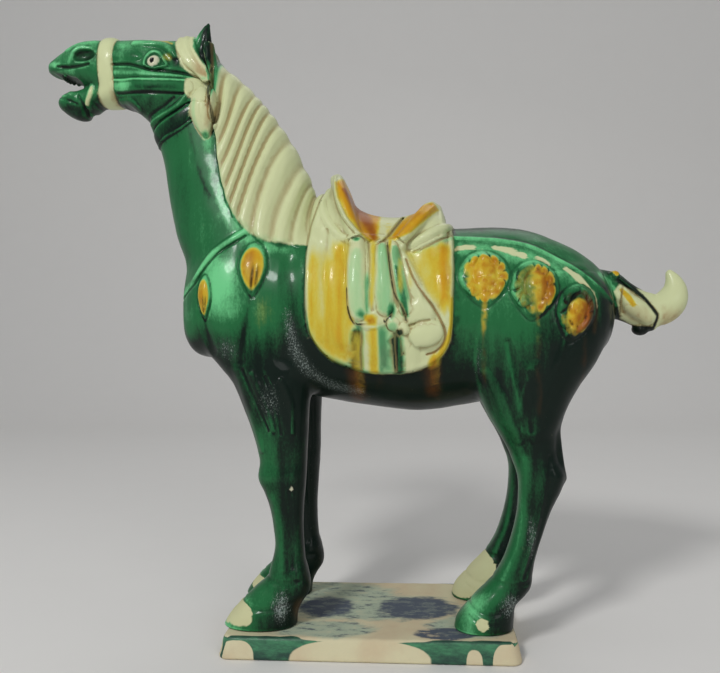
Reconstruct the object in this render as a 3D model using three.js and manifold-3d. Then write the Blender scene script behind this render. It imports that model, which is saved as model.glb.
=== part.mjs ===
// A glazed earthenware horse with saddle and harness, standing square on a low plinth.
// Millimetres, +Z up. The origin is the centre of the plinth's underside.
// The head points to -X, the tail to +X, and the horse's left side faces -Y.
import * as THREE from "three";
import { mergeVertices } from "three/addons/utils/BufferGeometryUtils.js";
import Module from "manifold-3d";

const wasm = await Module();
wasm.setup();

// Driving dimensions
const PLINTH_LENGTH = 180;
const PLINTH_WIDTH = 113;
const PLINTH_THICKNESS = 13;
const PLINTH_DRAFT = 3;
const PLINTH_CORNER = 7;
const SLIP_GAP = 0.3;
const HOOF_SOLE = PLINTH_THICKNESS + SLIP_GAP;
const LEG_Y = 30;
const FAR = 90;

// Every large form is a stack of oval sections along a straight axis in the horse's mid plane.
// A row is [distance along the axis, low side, high side, half width]. Along +X the sides are
// heights; along +Z they are the front and the back of a leg.
const ALONG_X = { origin: [0, 0], axis: [1, 0], cross: [0, 1] };
const ALONG_Z = { origin: [0, 0], axis: [0, 1], cross: [1, 0] };
const NECK_LEAN = Math.atan2(0.42, 0.9075);
const ALONG_NECK = {
  origin: [-66, 215],
  axis: [-Math.sin(NECK_LEAN), Math.cos(NECK_LEAN)],
  cross: [Math.cos(NECK_LEAN), Math.sin(NECK_LEAN)],
};

const TRUNK = {
  ...ALONG_X, sides: 18, power: 2.1, rows: [
    [-120.5, 204, 216, 8], [-115, 191, 228, 22], [-104, 181, 240, 33], [-88, 172, 250, 40],
    [-62, 160, 258, 45], [-30, 151, 262, 47], [0, 146, 262, 48.5], [30, 142.5, 260, 49],
    [55, 145, 259, 48.5], [80, 150, 259, 48.5], [102, 157, 256, 47], [122, 165, 248, 42],
    [138, 174, 238, 34], [148, 183, 228, 24], [153, 194, 216, 10],
  ],
};
const NECK = {
  ...ALONG_NECK, sides: 16, power: 2.1, taper: -0.22, rows: [
    [0, -44, 44, 34], [20, -48, 52, 38], [40, -40, 56.5, 35], [64, -37, 57, 30.5],
    [82, -33, 57, 27], [98, -28.5, 55, 24.5], [112, -24.5, 52.5, 23], [124, -22.5, 49.5, 22],
    [136, -22, 45.5, 21.5], [148, -19, 40, 20], [160, -12, 33, 16], [169, 0, 24, 8],
  ],
};
const HEAD = {
  ...ALONG_X, sides: 14, power: 2.3, rows: [
    [-214.5, 371.5, 376.5, 3], [-211, 368.5, 379, 8], [-206, 365.5, 381.5, 12],
    [-199, 362.5, 385.5, 15], [-190, 360, 389.5, 16.5], [-180, 356, 391, 16.5],
    [-170, 351, 390.5, 17], [-158, 345, 390, 19], [-146, 340, 389.5, 21.5], [-134, 337, 388, 22.5],
    [-122, 338, 387.5, 22], [-111, 345, 385, 19], [-101, 354, 379, 12],
  ],
};
const JAW = {
  ...ALONG_X, sides: 10, power: 2.2, rows: [
    [-206, 346.5, 352, 4], [-203.5, 343.5, 355.5, 9], [-198.5, 341.5, 357.5, 11.5],
    [-192, 339, 358.5, 12], [-184, 341.5, 361, 12], [-172, 345, 364, 13], [-158, 341, 366, 16.5],
    [-146, 335, 364, 18], [-137, 333, 358, 13],
  ],
};
const FRONT_LEG = {
  ...ALONG_Z, sides: 10, power: 2.15, lean: [[110, LEG_Y], [200, 25]], rows: [
    [10, -93, -45.5, 16.5], [20, -87, -45, 16], [27, -80.5, -42, 14.5], [34, -73.5, -37.5, 13],
    [42, -64.5, -37, 12.3], [51, -61, -39.5, 10.8], [62, -58.5, -40.5, 10], [74, -59.5, -40.8, 10],
    [86, -61.5, -40.3, 10.7], [96, -65, -39.3, 12], [104, -68, -38.6, 13], [113, -67.3, -38.2, 12.8],
    [128, -70.5, -37.5, 14], [146, -77, -36.5, 16.2], [162, -84, -35.5, 18.3], [182, -94, -34, 19.5],
    [204, -98, -38, 16], [220, -92, -48, 8],
  ],
};
const HIND_LEG = {
  ...ALONG_Z, sides: 10, power: 2.15, lean: [[120, LEG_Y], [190, 26.5]], rows: [
    [10, 50.5, 86.5, 16], [20, 53, 87, 15.3], [28, 59.5, 88.5, 13.5], [35, 66, 95, 12],
    [43, 73.5, 98, 11.3], [54, 81, 100, 10.3], [69, 86.5, 104.5, 9.5], [84, 90, 110, 10.3],
    [97, 91, 116.5, 12], [105, 90.5, 118.5, 12.6], [113, 88, 115.5, 12.8], [122, 84.5, 113.8, 13.3],
    [134, 78, 115.5, 15.5], [147, 71, 119.5, 18.2], [160, 67, 127, 20.8], [176, 66, 138, 23],
    [194, 69, 143, 23.5], [212, 77, 142, 20], [228, 92, 130, 9],
  ],
};
const DOCK = {
  ...ALONG_X, sides: 8, power: 2, rows: [
    [138, 206, 229, 9], [148, 202, 230, 10.5], [157, 199, 229, 10.5], [166, 195.5, 222, 9.5],
    [174, 191.5, 217, 8.5], [180, 192, 215, 7.5], [185, 197, 212, 4],
  ],
};

/** Catmull-Rom value of every column of the rows at t. */
function rowAt(rows, t) {
  const last = rows.length - 1;
  let i = 0;
  while (i < last - 1 && t > rows[i + 1][0]) i += 1;
  const slope = (k, c) => {
    const a = rows[Math.max(k - 1, 0)];
    const b = rows[Math.min(k + 1, last)];
    return (b[c] - a[c]) / (b[0] - a[0]);
  };
  const [from, to] = [rows[i], rows[i + 1]];
  const span = to[0] - from[0];
  const s = Math.min(Math.max((t - from[0]) / span, 0), 1);
  const [s2, s3] = [s * s, s * s * s];
  return from.map((value, c) => c === 0 ? t
    : (2 * s3 - 3 * s2 + 1) * value + (s3 - 2 * s2 + s) * span * slope(i, c)
    + (3 * s2 - 2 * s3) * to[c] + (s3 - s2) * span * slope(i + 1, c));
}

/** Y of a form's axis at t: 0 on the mid plane, or a leg's inward lean. */
function axisY(form, t) {
  if (!form.lean) return 0;
  const [[t0, y0], [t1, y1]] = form.lean;
  return y0 + (y1 - y0) * THREE.MathUtils.smoothstep(t, t0, t1);
}

/** A closed indexed geometry from its points and faces, with the faces turned out. */
function closedGeometry(points, faces) {
  let volume = 0;
  const [a, b, c] = [new THREE.Vector3(), new THREE.Vector3(), new THREE.Vector3()];
  for (const [i, j, k] of faces) {
    a.fromArray(points[i]);
    b.fromArray(points[j]);
    c.fromArray(points[k]);
    volume += a.dot(b.cross(c));
  }
  const outward = volume < 0 ? faces.map(([i, j, k]) => [i, k, j]) : faces;
  const geometry = new THREE.BufferGeometry();
  geometry.setAttribute("position", new THREE.Float32BufferAttribute(points.flat(), 3));
  geometry.setIndex(outward.flat());
  return geometry;
}

/** Joins rings of equal count into a closed skin with a fan at each end. */
function skinRings(rings) {
  const count = rings[0].length;
  const points = rings.flat();
  const faces = [];
  for (let r = 0; r + 1 < rings.length; r += 1) {
    for (let k = 0; k < count; k += 1) {
      const [a, b] = [r * count + k, r * count + (k + 1) % count];
      faces.push([a, b, b + count], [a, b + count, a + count]);
    }
  }
  for (const [r, turn] of [[0, 1], [rings.length - 1, 0]]) {
    const middle = [0, 1, 2].map((c) => rings[r].reduce((sum, p) => sum + p[c], 0) / count);
    const hub = points.push(middle) - 1;
    for (let k = 0; k < count; k += 1) {
      const [a, b] = [r * count + k, r * count + (k + 1) % count];
      faces.push(turn ? [b, a, hub] : [a, b, hub]);
    }
  }
  return closedGeometry(points, faces);
}

/** Turns a closed three.js geometry into a solid that can be joined and cut. */
function solid(geometry) {
  const bare = geometry.clone();
  bare.deleteAttribute("normal");
  bare.deleteAttribute("uv");
  const merged = mergeVertices(bare, 1e-4);
  return new wasm.Manifold(new wasm.Mesh({
    numProp: 3,
    vertProperties: new Float32Array(merged.attributes.position.array),
    triVerts: new Uint32Array(merged.index.array),
  }));
}

const joined = (solids) => solids.reduce((sum, next) => sum.add(next));

const SIDES = [-1, 1];
const both = (make) => SIDES.map((side) => make(side));

/** The solid of a form, grown outwards by grow, on one side of the mid plane or on it. */
function stack(form, { grow = 0, side = 1 } = {}) {
  const { origin, axis, cross, rows, sides, power, taper = 0 } = form;
  const rings = rows.map(([t, low, high, half], index) => {
    const end = index === 0 ? -1 : Number(index === rows.length - 1);
    const [centre, reach] = [(low + high) / 2, (high - low) / 2 + grow];
    return Array.from({ length: sides }, (_, k) => {
      const angle = (k + 0.5) * 2 * Math.PI / sides;
      const round = (w) => Math.sign(w) * Math.abs(w) ** (2 / power);
      const [s, w] = [round(Math.cos(angle)), round(Math.sin(angle))];
      const [along, across] = [t + end * grow, centre + reach * s];
      return [
        origin[0] + axis[0] * along + cross[0] * across,
        side * axisY(form, t) + (half + grow) * w * (1 + taper * s),
        origin[1] + axis[1] * along + cross[1] * across,
      ];
    });
  });
  return solid(skinRings(rings));
}

/** How far the form reaches from the mid plane at x, z; 0 outside it. */
function reachOf(form, x, z) {
  const { origin, axis, cross, rows, power, taper = 0 } = form;
  const [dx, dz] = [x - origin[0], z - origin[1]];
  const t = axis[0] * dx + axis[1] * dz;
  if (t < rows[0][0] || t > rows.at(-1)[0]) return 0;
  const [, low, high, half] = rowAt(rows, t);
  const s = (cross[0] * dx + cross[1] * dz - (low + high) / 2) / ((high - low) / 2);
  if (Math.abs(s) >= 1) return 0;
  return axisY(form, t) + half * (1 + taper * s) * (1 - Math.abs(s) ** power) ** (1 / power);
}

const FLESH = [TRUNK, NECK, HEAD, JAW, FRONT_LEG, HIND_LEG];
const skinY = (x, z) => Math.max(...FLESH.map((form) => reachOf(form, x, z)));

/** A rod along a smooth curve through [x, y, z, radius] points; flat squeezes it along Y. */
function rod(points, { sides = 5, steps = 5, flat = 1 } = {}) {
  const curve = new THREE.CatmullRomCurve3(points.map(([x, y, z]) => new THREE.Vector3(x, y, z)));
  const side = new THREE.Vector3(0, 1, 0);
  const rings = Array.from({ length: steps + 1 }, (_, i) => {
    const t = i / steps;
    const centre = curve.getPoint(t);
    const up = new THREE.Vector3().crossVectors(curve.getTangent(t), side).normalize();
    const out = new THREE.Vector3().crossVectors(up, curve.getTangent(t)).normalize();
    const place = t * (points.length - 1);
    const i0 = Math.min(Math.floor(place), points.length - 2);
    const radius = THREE.MathUtils.lerp(points[i0][3], points[i0 + 1][3], place - i0);
    return Array.from({ length: sides }, (_unused, k) => {
      const angle = (k + 0.5) * 2 * Math.PI / sides;
      return centre.clone().addScaledVector(up, radius * Math.cos(angle))
        .addScaledVector(out, radius * flat * Math.sin(angle)).toArray();
    });
  });
  return solid(skinRings(rings));
}

/** An ellipsoid with its half sizes, tilted in the side view. */
function blob([x, y, z], [rx, ry, rz], { tilt = 0, around = 7, rings = 4 } = {}) {
  const geometry = new THREE.SphereGeometry(1, around, rings);
  geometry.scale(rx, ry, rz).rotateY(tilt).translate(x, y, z);
  return solid(geometry);
}

/** A side-view outline of [x, z] points, run through the horse from -depth to depth. */
function prism(outline, depth = FAR) {
  const shape = new THREE.Shape(outline.map(([x, z]) => new THREE.Vector2(x, z)));
  const geometry = new THREE.ExtrudeGeometry(shape, { depth: 2 * depth, bevelEnabled: false });
  return solid(geometry.rotateX(Math.PI / 2).translate(0, depth, 0));
}

/** A smooth closed outline through the corner points. */
function smoothOutline(corners, count) {
  const curve = new THREE.CatmullRomCurve3(
    corners.map(([x, z]) => new THREE.Vector3(x, 0, z)), true, "centripetal");
  return curve.getPoints(count).slice(0, -1).map((p) => [p.x, p.z]);
}

// Hooves are cut flat where they stand in the slip on the plinth.
const ground = solid(new THREE.BoxGeometry(400, 300, 60).translate(0, 0, HOOF_SOLE - 30));

// Body: trunk, neck and shoulders, with the breast muscles that run down into the forearms
function makeBody() {
  const breast = (side) => blob([-101, side * 17, 201], [16, 18, 22],
    { tilt: -0.25, around: 8, rings: 6 });
  const shoulder = (side) => blob([-82, side * 27, 206], [25, 16.5, 38],
    { tilt: 0.25, around: 9, rings: 6 });
  const fold = (side) => rod([[-93, side * 18, 190, 12], [-82, side * 24, 172, 9],
    [-72, side * 30, 150, 6]], { sides: 7, steps: 3 });
  return joined([stack(TRUNK), stack(NECK), ...both(breast), ...both(shoulder), ...both(fold)]);
}

// Legs: forearm, knee, cannon, fetlock and hoof, with the back tendon and the elbow
function makeLegs() {
  const legs = both((side) => [
    stack(FRONT_LEG, { side }), stack(HIND_LEG, { side }),
    blob([-66, side * 34, 168], [11, 13, 30], { tilt: 0.12, around: 7, rings: 5 }),
    rod([[110, side * 31, 150, 5], [113, side * 31, 128, 3.5], [116.5, side * 30, 104, 3]],
      { sides: 4, steps: 2 }),
  ]).flat();
  return joined(legs).subtract(ground);
}

// Head: skull, jowls, chin, open mouth, flared nostrils, eyes and ears
const JOWL = { x: -136, z: 355, length: 21, height: 20 };
const EYE = { x: -135.4, z: 369.4, length: 5.2, height: 4.6 };
const NOSTRIL_CORNERS = [[-190.5, 379.8], [-184.8, 381.2], [-178.2, 380], [-174.8, 375.2],
  [-177, 371.6], [-185, 371.4], [-193, 372.2], [-190.6, 376.2]];
const NOSTRIL_FLOOR = 10.5;
const MOUTH_CORNERS = [[-228, 367], [-209, 367.2], [-204.5, 365.4], [-198, 363.4], [-192, 362.6],
  [-189.2, 360.4], [-191.6, 358.2], [-200, 356.6], [-228, 354]];
const EAR_LEAF = [[-104.4, 10.5, 361, 5], [-105, 11.5, 370, 6.6], [-105.2, 12.2, 378, 6.4],
  [-104.2, 12.4, 385, 4.5], [-102.8, 12, 391, 2.3], [-101.8, 11.6, 394.6, 0.9]];
const EAR_HOLLOW = [[-106.2, 19.6, 372, 2], [-106.2, 19.2, 378, 3.8], [-104.8, 18, 384.5, 3],
  [-102.9, 15.2, 390.5, 1]];
const EAR_FAR_LEAD = 5.5;

function makeHead() {
  const jowl = (side) => blob([JOWL.x, side * 12, JOWL.z], [JOWL.length, 13, JOWL.height],
    { around: 11, rings: 6 });
  const chin = blob([-187.5, 0, 340], [8, 8, 4.6], { around: 8 });
  const eyeY = reachOf(HEAD, EYE.x, EYE.z);
  const eye = (side) => blob([EYE.x, side * (eyeY - 1), EYE.z], [EYE.length, 3.4, EYE.height],
    { around: 8, rings: 6 });
  const brow = (side) => rod([[EYE.x - 8, side * (eyeY - 1), EYE.z + 5, 1],
    [EYE.x + 1, side * (eyeY - 0.5), EYE.z + 9.5, 2.2], [EYE.x + 13, side * (eyeY - 1), EYE.z + 3, 1.2]],
  { sides: 4, steps: 4 });
  const rim = (side) => rod([[-194.5, side * 12.5, 371.5, 1.4], [-192.5, side * 13.5, 380, 2.2],
    [-185, side * 14, 383.5, 2.2], [-176.5, side * 14.5, 381.5, 1.2]],
  { sides: 4, steps: 4 });
  const nostrils = prism(NOSTRIL_CORNERS).subtract(prism(NOSTRIL_CORNERS, NOSTRIL_FLOOR));
  const teeth = blob([-201, 0, 364.8], [5.5, 9, 2.4], { around: 8, rings: 4 });
  const skull = joined([stack(HEAD), stack(JAW), chin, ...both(jowl), ...both(eye), ...both(brow),
    ...both(rim)]);
  return joined([skull.subtract(prism(MOUTH_CORNERS)).subtract(nostrils), teeth, ...both(makeEar)]);
}

/** An ear leaf with its hollow. The far ear is set a little further forward. */
function makeEar(side) {
  const lead = side > 0 ? EAR_FAR_LEAD : 0;
  const place = (points) => points.map(([x, y, z, radius]) => [x - lead, side * y, z, radius]);
  const leaf = rod(place(EAR_LEAF), { steps: 6, sides: 6, flat: 0.75 });
  return leaf.subtract(rod(place(EAR_HOLLOW), { steps: 3, sides: 4, flat: 0.7 }));
}

// Harness on the head: noseband, cheek strap, throat latch and the tassel behind the jowl
const NOSEBAND_CORNERS = [[-175.4, 400], [-175, 372], [-176, 357], [-177.4, 348], [-178, 330],
  [-167, 330], [-165.8, 348], [-163.2, 357], [-163.4, 372], [-163.4, 400]];
const CHEEK_CORNERS = [[-166, 360.5], [-166, 352], [-150.6, 350], [-136.6, 348.3], [-115.4, 347.6],
  [-111.6, 344.5], [-98, 345], [-101, 357.5], [-115, 356.5], [-136, 356.5], [-150.6, 358.3]];
const TASSEL = [[-103.6, 22, 347.5, 3.4], [-103.2, 23.6, 340.5, 6.6], [-102.8, 24.6, 333, 6.9],
  [-101.8, 24.8, 325.5, 4.6], [-100.6, 24, 318, 1.6]];
const LATCH = [[-109, 20, 338, 4], [-116, 20.5, 331.5, 4.2], [-126, 17.5, 327, 4.4],
  [-134.5, 9, 325.5, 4.4], [-136.5, 0, 325, 4.4]];

function makeBridle() {
  const raised = joined([stack(HEAD, { grow: 1.8 }), stack(JAW, { grow: 1.8 })]);
  const noseband = raised.intersect(prism(NOSEBAND_CORNERS));
  const wide = blob([JOWL.x, 0, JOWL.z], [JOWL.length + 6, 26.8, JOWL.height + 4],
    { around: 10, rings: 6 });
  const cheek = raised.add(wide).intersect(prism(CHEEK_CORNERS));
  const strand = (points, options) => both((side) => rod(
    points.map(([x, y, z, radius]) => [x, side * y, z, radius]), options));
  return joined([noseband, cheek, ...strand(TASSEL, { flat: 0.8, sides: 6 }),
    ...strand(LATCH, { flat: 0.6, sides: 4, steps: 4 })]);
}

// Mane: combed locks that leave the crest and hang forward on both sides of the neck
const MANE_LOCKS = 11;
const MANE_COLUMNS_PER_LOCK = 3;
const MANE_ROWS = 4;
const MANE_CREST = [[-103, 373], [-95, 368.5], [-84.5, 361.5], [-73, 351], [-65, 343], [-56, 330],
  [-46.5, 315.5], [-37.5, 299], [-31.5, 286]];
const MANE_MIDDLE = [[-99.4, 353], [-95.6, 346.5], [-88.6, 337.5], [-83.5, 321.5], [-77.5, 307],
  [-70, 299], [-61.5, 289.5], [-48.4, 276.5], [-36.5, 268]];
const MANE_EDGE = [[-98.6, 340], [-97.2, 331], [-95, 320], [-92.2, 299], [-86.2, 277],
  [-78.5, 263], [-66, 252], [-51.6, 248.5], [-34, 246.5]];

function curveXZ(points) {
  return new THREE.CatmullRomCurve3(points.map(([x, z]) => new THREE.Vector3(x, 0, z)));
}

function makeMane(side) {
  const lines = [MANE_CREST, MANE_MIDDLE, MANE_EDGE].map(curveXZ);
  const columns = MANE_LOCKS * MANE_COLUMNS_PER_LOCK;
  const [outer, inner] = [[], []];
  for (let i = 0; i <= columns; i += 1) {
    const [crest, middle, edge] = lines.map((line) => line.getPoint(i / columns));
    const swell = Math.abs(Math.sin(Math.PI * i / MANE_COLUMNS_PER_LOCK)) ** 0.6;
    for (let j = 0; j <= MANE_ROWS; j += 1) {
      // Each lock follows the curve from the crest through the middle to the edge.
      const v = j / MANE_ROWS;
      const { x, z } = new THREE.Vector3()
        .addScaledVector(crest, (2 * v - 1) * (v - 1))
        .addScaledVector(middle, 4 * v * (1 - v))
        .addScaledVector(edge, v * (2 * v - 1));
      const thick = (0.6 + 2.9 * swell) * Math.min(1, 0.55 + 1.2 * v, 3.2 - 3 * v);
      const skin = reachOf(NECK, x, z);
      const [lift, proud] = [skin > 4 ? 0 : 1, Math.max(skin, 2) + thick];
      outer.push([x + 0.9 * lift * thick, side * proud, z + 0.42 * lift * thick]);
      inner.push([x - 3 * lift, side * Math.max(skin - 3, -1), z - 1.4 * lift]);
    }
  }
  const width = MANE_ROWS + 1;
  const offset = outer.length;
  const faces = [];
  const quad = (a, b, c, d) => faces.push([a, b, c], [a, c, d]);
  for (let i = 0; i < columns; i += 1) {
    for (let j = 0; j < MANE_ROWS; j += 1) {
      const [a, b] = [i * width + j, (i + 1) * width + j];
      quad(a, b, b + 1, a + 1);
      quad(offset + a + 1, offset + b + 1, offset + b, offset + a);
    }
    const [top, next] = [i * width, (i + 1) * width];
    quad(next, top, offset + top, offset + next);
    quad(top + MANE_ROWS, next + MANE_ROWS, offset + next + MANE_ROWS, offset + top + MANE_ROWS);
  }
  for (let j = 0; j < MANE_ROWS; j += 1) {
    const end = columns * width + j;
    quad(j, j + 1, offset + j + 1, offset + j);
    quad(end + 1, end, offset + end, offset + end + 1);
  }
  return solid(closedGeometry([...outer, ...inner], faces));
}

// Forelock: two strands that fall from the poll past the brow to the cheek
const FORELOCK = [[-117, 2, 386.5, 3], [-116, 11, 383.5, 3.6], [-114, 17, 376.5, 3.7],
  [-109.5, 19, 369, 3.4], [-104.8, 19.5, 362.4, 2.8], [-101, 19.5, 356, 1]];

function makeForelock(side) {
  return joined([-4, 3].map((shift) => rod(FORELOCK.map(([x, y, z, radius], k) => [
    x + shift * (1 - k / FORELOCK.length), side * y, z, radius]), { sides: 5, steps: 5 })));
}

// Saddle: arched pommel and cantle boards with the dipped seat between them
const SEAT = {
  ...ALONG_X, sides: 12, power: 2.2, rows: [
    [-37, 228, 270, 22], [-33, 216, 281, 29], [-27, 210, 284.5, 33], [-18, 206, 284, 36],
    [-11, 204, 279, 38], [-2, 202, 271.5, 39], [8, 200, 267, 37], [20, 200, 265.2, 37],
    [31, 202, 267, 40], [39, 205, 269, 41], [46, 209, 267, 39], [51, 218, 258, 34],
  ],
};
const POMMEL = { foot: [-3, 250], tip: [-18.4, 296.5], half: 40, thickness: 4.6 };
const CANTLE = { foot: [22, 248], tip: [43.5, 275.5], half: 43, thickness: 4.6 };

/** An arched board across the back, from its feet on the flanks to its raised tip. */
function board({ foot, tip, half, thickness }) {
  const rise = Math.hypot(tip[0] - foot[0], tip[1] - foot[1]);
  const shape = new THREE.Shape();
  const count = 12;
  for (let k = 0; k <= count; k += 1) {
    const angle = Math.PI * k / count;
    const [y, s] = [half * Math.cos(angle), rise * Math.sin(angle) ** 0.9];
    if (k === 0) shape.moveTo(y, s);
    else shape.lineTo(y, s);
  }
  shape.lineTo(-half + 6, -14);
  shape.lineTo(half - 6, -14);
  const geometry = new THREE.ExtrudeGeometry(shape, { depth: thickness, bevelEnabled: false });
  const up = new THREE.Vector3((tip[0] - foot[0]) / rise, 0, (tip[1] - foot[1]) / rise);
  const along = new THREE.Vector3(0, 1, 0);
  const through = new THREE.Vector3().crossVectors(along, up);
  const place = new THREE.Matrix4().makeBasis(along, up, through);
  place.setPosition(foot[0] - through.x * thickness / 2, 0, foot[1] - through.z * thickness / 2);
  return solid(geometry.applyMatrix4(place));
}

// Saddle cloths: the outer cloth with its rolled edge, the gathered skirt over it and its tied-up end
const CLOTH_CORNERS = [[-33, 300], [-32, 272], [-35, 254], [-35, 206], [-32, 190], [-20, 175],
  [0, 168], [18, 167], [32, 169], [44, 176], [51, 187], [53, 210], [54, 251], [53, 300]];
const SKIRT_CORNERS = [[-8, 262], [-9, 230], [-8, 206], [-3, 197], [7, 194], [18, 197], [24, 204],
  [27, 187], [36, 180], [47, 186], [48, 200], [43, 210], [33, 222], [31, 262]];
const CLOTH_THICKNESS = 3.8;
const SKIRT_THICKNESS = 6.4;
const FOLD_COUNT = 4;

function makeSaddle() {
  const raisedBody = (grow) => joined([stack(TRUNK, { grow }), stack(NECK, { grow })]);
  const cloth = raisedBody(CLOTH_THICKNESS).intersect(prism(CLOTH_CORNERS));
  const skirt = raisedBody(SKIRT_THICKNESS).intersect(prism(smoothOutline(SKIRT_CORNERS, 20)));
  const folds = Array.from({ length: FOLD_COUNT }, (_, k) => {
    const [x, lean] = [-3 + 9 * k, 1.2 * k];
    return both((side) => rod([248, 232, 215, 199 + 2 * k].map((z, i) => [
      x + lean * i, side * (skinY(x, z) + 5), z, i === 3 ? 1.6 : 2.8]), { sides: 4, steps: 3 }));
  }).flat();
  const roll = (side) => rod([[27, side * (skinY(27, 244) + 3), 243, 2.2],
    [38, side * (skinY(38, 250) + 3.5), 249, 3.2], [51, side * (skinY(51, 256) + 3), 256.5, 2.4]],
  { sides: 5, steps: 3 });
  const puff = (side) => blob([37, side * (skinY(37, 193) + 3), 193], [10.5, 4.6, 13],
    { around: 9, rings: 6 });
  const knot = (side) => blob([20, side * (skinY(20, 195) + 4), 195], [5, 3.6, 6]);
  return joined([cloth, skirt, stack(SEAT), board(POMMEL), board(CANTLE), ...folds, ...both(roll),
    ...both(puff), ...both(knot)]);
}

// Breast strap and crupper: thin raised bands that follow the skin
const BREAST_STRAP = [[-72, 40, 257], [-83, 38.5, 250.5], [-92, 36.5, 244], [-105, 30, 228],
  [-113, 21, 222], [-119.5, 9, 217.5], [-121, 0, 216.5]];
const CRUPPER = [[54, 250], [78, 248], [98, 243.5], [113, 236], [126, 228], [138, 218], [146, 209]];
const BREAST_STRAP_RADIUS = 2.4;
const CRUPPER_RADIUS = 1.5;

function makeStraps() {
  const strap = (side) => rod(BREAST_STRAP.map(([x, y, z]) => [x, side * y, z, BREAST_STRAP_RADIUS]),
    { steps: 8 });
  const crupper = (side) => rod(CRUPPER.map(([x, z]) => [x, side * skinY(x, z), z, CRUPPER_RADIUS]),
    { sides: 4, steps: 8 });
  return joined([...both(strap), ...both(crupper)]);
}

// Hanging drops: a leaf-edged disc with a boss, pointed below, three on each hip
// and two on each side of the chest
const HIP_DROPS = [
  { x: 71, z: 224.5, half: 14.2, up: 15, down: 16.5, lean: 0 },
  { x: 99.5, z: 217.5, half: 13.2, up: 15.5, down: 17.5, lean: -0.1 },
  { x: 123.5, z: 203.5, half: 11, up: 15, down: 16.5, lean: -0.25 },
];
const CHEST_DROPS = [
  { x: -67.8, z: 234.5, half: 8.3, up: 13.5, down: 17.5 },
  { x: -97.2, z: 216.6, half: 5.2, up: 12, down: 13.5 },
];
const DROP_THICKNESS = 3.6;
const DROP_TEETH = 9;
const TOOTH_DEPTH = 0.09;

/** The leaf-edged outline of a hip drop. Its point below has no teeth. */
function dropOutline({ x, z, half, up, down, lean }) {
  const count = 2 * DROP_TEETH;
  return Array.from({ length: count }, (_, k) => {
    const angle = 2 * Math.PI * k / count;
    const [s, c] = [Math.sin(angle), Math.cos(angle)];
    const edge = 1 + TOOTH_DEPTH * Math.cos(DROP_TEETH * angle) * (c > -0.6 ? 1 : 0);
    const pinch = c < 0 ? 1 - 0.35 * c * c : 1;
    const [dx, dz] = [half * s * pinch * edge, (c > 0 ? up : down) * c * edge];
    return [x + dx * Math.cos(lean) - dz * Math.sin(lean),
      z + dx * Math.sin(lean) + dz * Math.cos(lean)];
  });
}

function makeDrops() {
  const raised = joined([stack(TRUNK, { grow: DROP_THICKNESS }), stack(NECK, { grow: DROP_THICKNESS }),
    ...both((side) => stack(HIND_LEG, { grow: DROP_THICKNESS, side }))]);
  const hips = HIP_DROPS.map((drop) => raised.intersect(prism(dropOutline(drop))));
  const bosses = HIP_DROPS.flatMap(({ x, z }) => both((side) => blob(
    [x, side * (skinY(x, z) + 2.8), z], [5, 3.2, 5.6], { around: 7, rings: 4 })));
  const chest = CHEST_DROPS.flatMap(({ x, z, half, up, down }) => both((side) => rod([
    [x, side * (skinY(x, z + up) + 0.5), z + up, half * 0.35],
    [x, side * (skinY(x, z + up * 0.4) + 1.2), z + up * 0.4, half],
    [x, side * (skinY(x, z - down * 0.3) + 1.2), z - down * 0.3, half * 0.8],
    [x, side * skinY(x, z - down), z - down, 0.8]], { flat: 0.5, steps: 5, sides: 6 })));
  return joined([...hips, ...bosses, ...chest]);
}

// Tail: the bound dock with its knots and sleeve, ending in a tip that curls up
const TAIL_TIP = [[176, 203.5, 8], [184, 204.5, 9.8], [190.5, 209.5, 9.6], [193.2, 216, 7.4],
  [192.6, 222, 5.2], [190.6, 226.4, 3.2], [190.2, 228.6, 1]];

function makeTail() {
  const tip = rod(TAIL_TIP.map(([x, z, radius]) => [x, 0, z, radius]), { sides: 8, steps: 8 });
  const knot = (side) => blob([156, side * 8, 226], [5.5, 4.5, 5]);
  const sleeve = (side) => rod([[158, side * 8.5, 213, 3.4], [167, side * 8.5, 210, 4.6],
    [175, side * 8, 206, 4]], { sides: 6, steps: 3 });
  const tie = (side) => rod([[162, side * 8.5, 221, 1.5], [171, side * 8.5, 213, 1.7],
    [178, side * 7.5, 202, 1.5]], { sides: 4, steps: 2 });
  const ball = blob([171.5, 0, 192.6], [5, 6.5, 3.6]);
  return joined([stack(DOCK), tip, ...both(knot), ...both(sleeve), ...both(tie), ball]);
}

// Plinth: a slab with drafted sides, rounded corners and a soft upper edge
function makePlinth() {
  const ring = (inset, z) => {
    const [halfL, halfW] = [PLINTH_LENGTH / 2 - inset, PLINTH_WIDTH / 2 - inset];
    const centres = [[1, 1], [-1, 1], [-1, -1], [1, -1]];
    return centres.flatMap(([sx, sy], corner) => Array.from({ length: 5 }, (_, k) => {
      const angle = (corner + k / 4) * Math.PI / 2;
      return [sx * (halfL - PLINTH_CORNER) + PLINTH_CORNER * Math.cos(angle),
        sy * (halfW - PLINTH_CORNER) + PLINTH_CORNER * Math.sin(angle), z];
    }));
  };
  return skinRings([ring(0.8, 0), ring(0, 1.2), ring(PLINTH_DRAFT - 1, PLINTH_THICKNESS - 1.5),
    ring(PLINTH_DRAFT + 0.5, PLINTH_THICKNESS)]);
}

const horseSolid = joined([makeBody(), makeLegs(), makeHead(), makeBridle(), ...both(makeMane),
  ...both(makeForelock), makeSaddle(), makeStraps(), makeDrops(), makeTail()]);

function geometryOf(cut) {
  const mesh = cut.getMesh();
  const geometry = new THREE.BufferGeometry();
  geometry.setAttribute("position", new THREE.Float32BufferAttribute(mesh.vertProperties, 3));
  geometry.setIndex(Array.from(mesh.triVerts));
  return geometry;
}

// Joined solids meet in slivers. An edge goes where its loss moves the skin by less than FLAT,
// and an edge under TINY goes in any case.
const FLAT = 0.12;
const TINY = 0.03;

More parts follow.
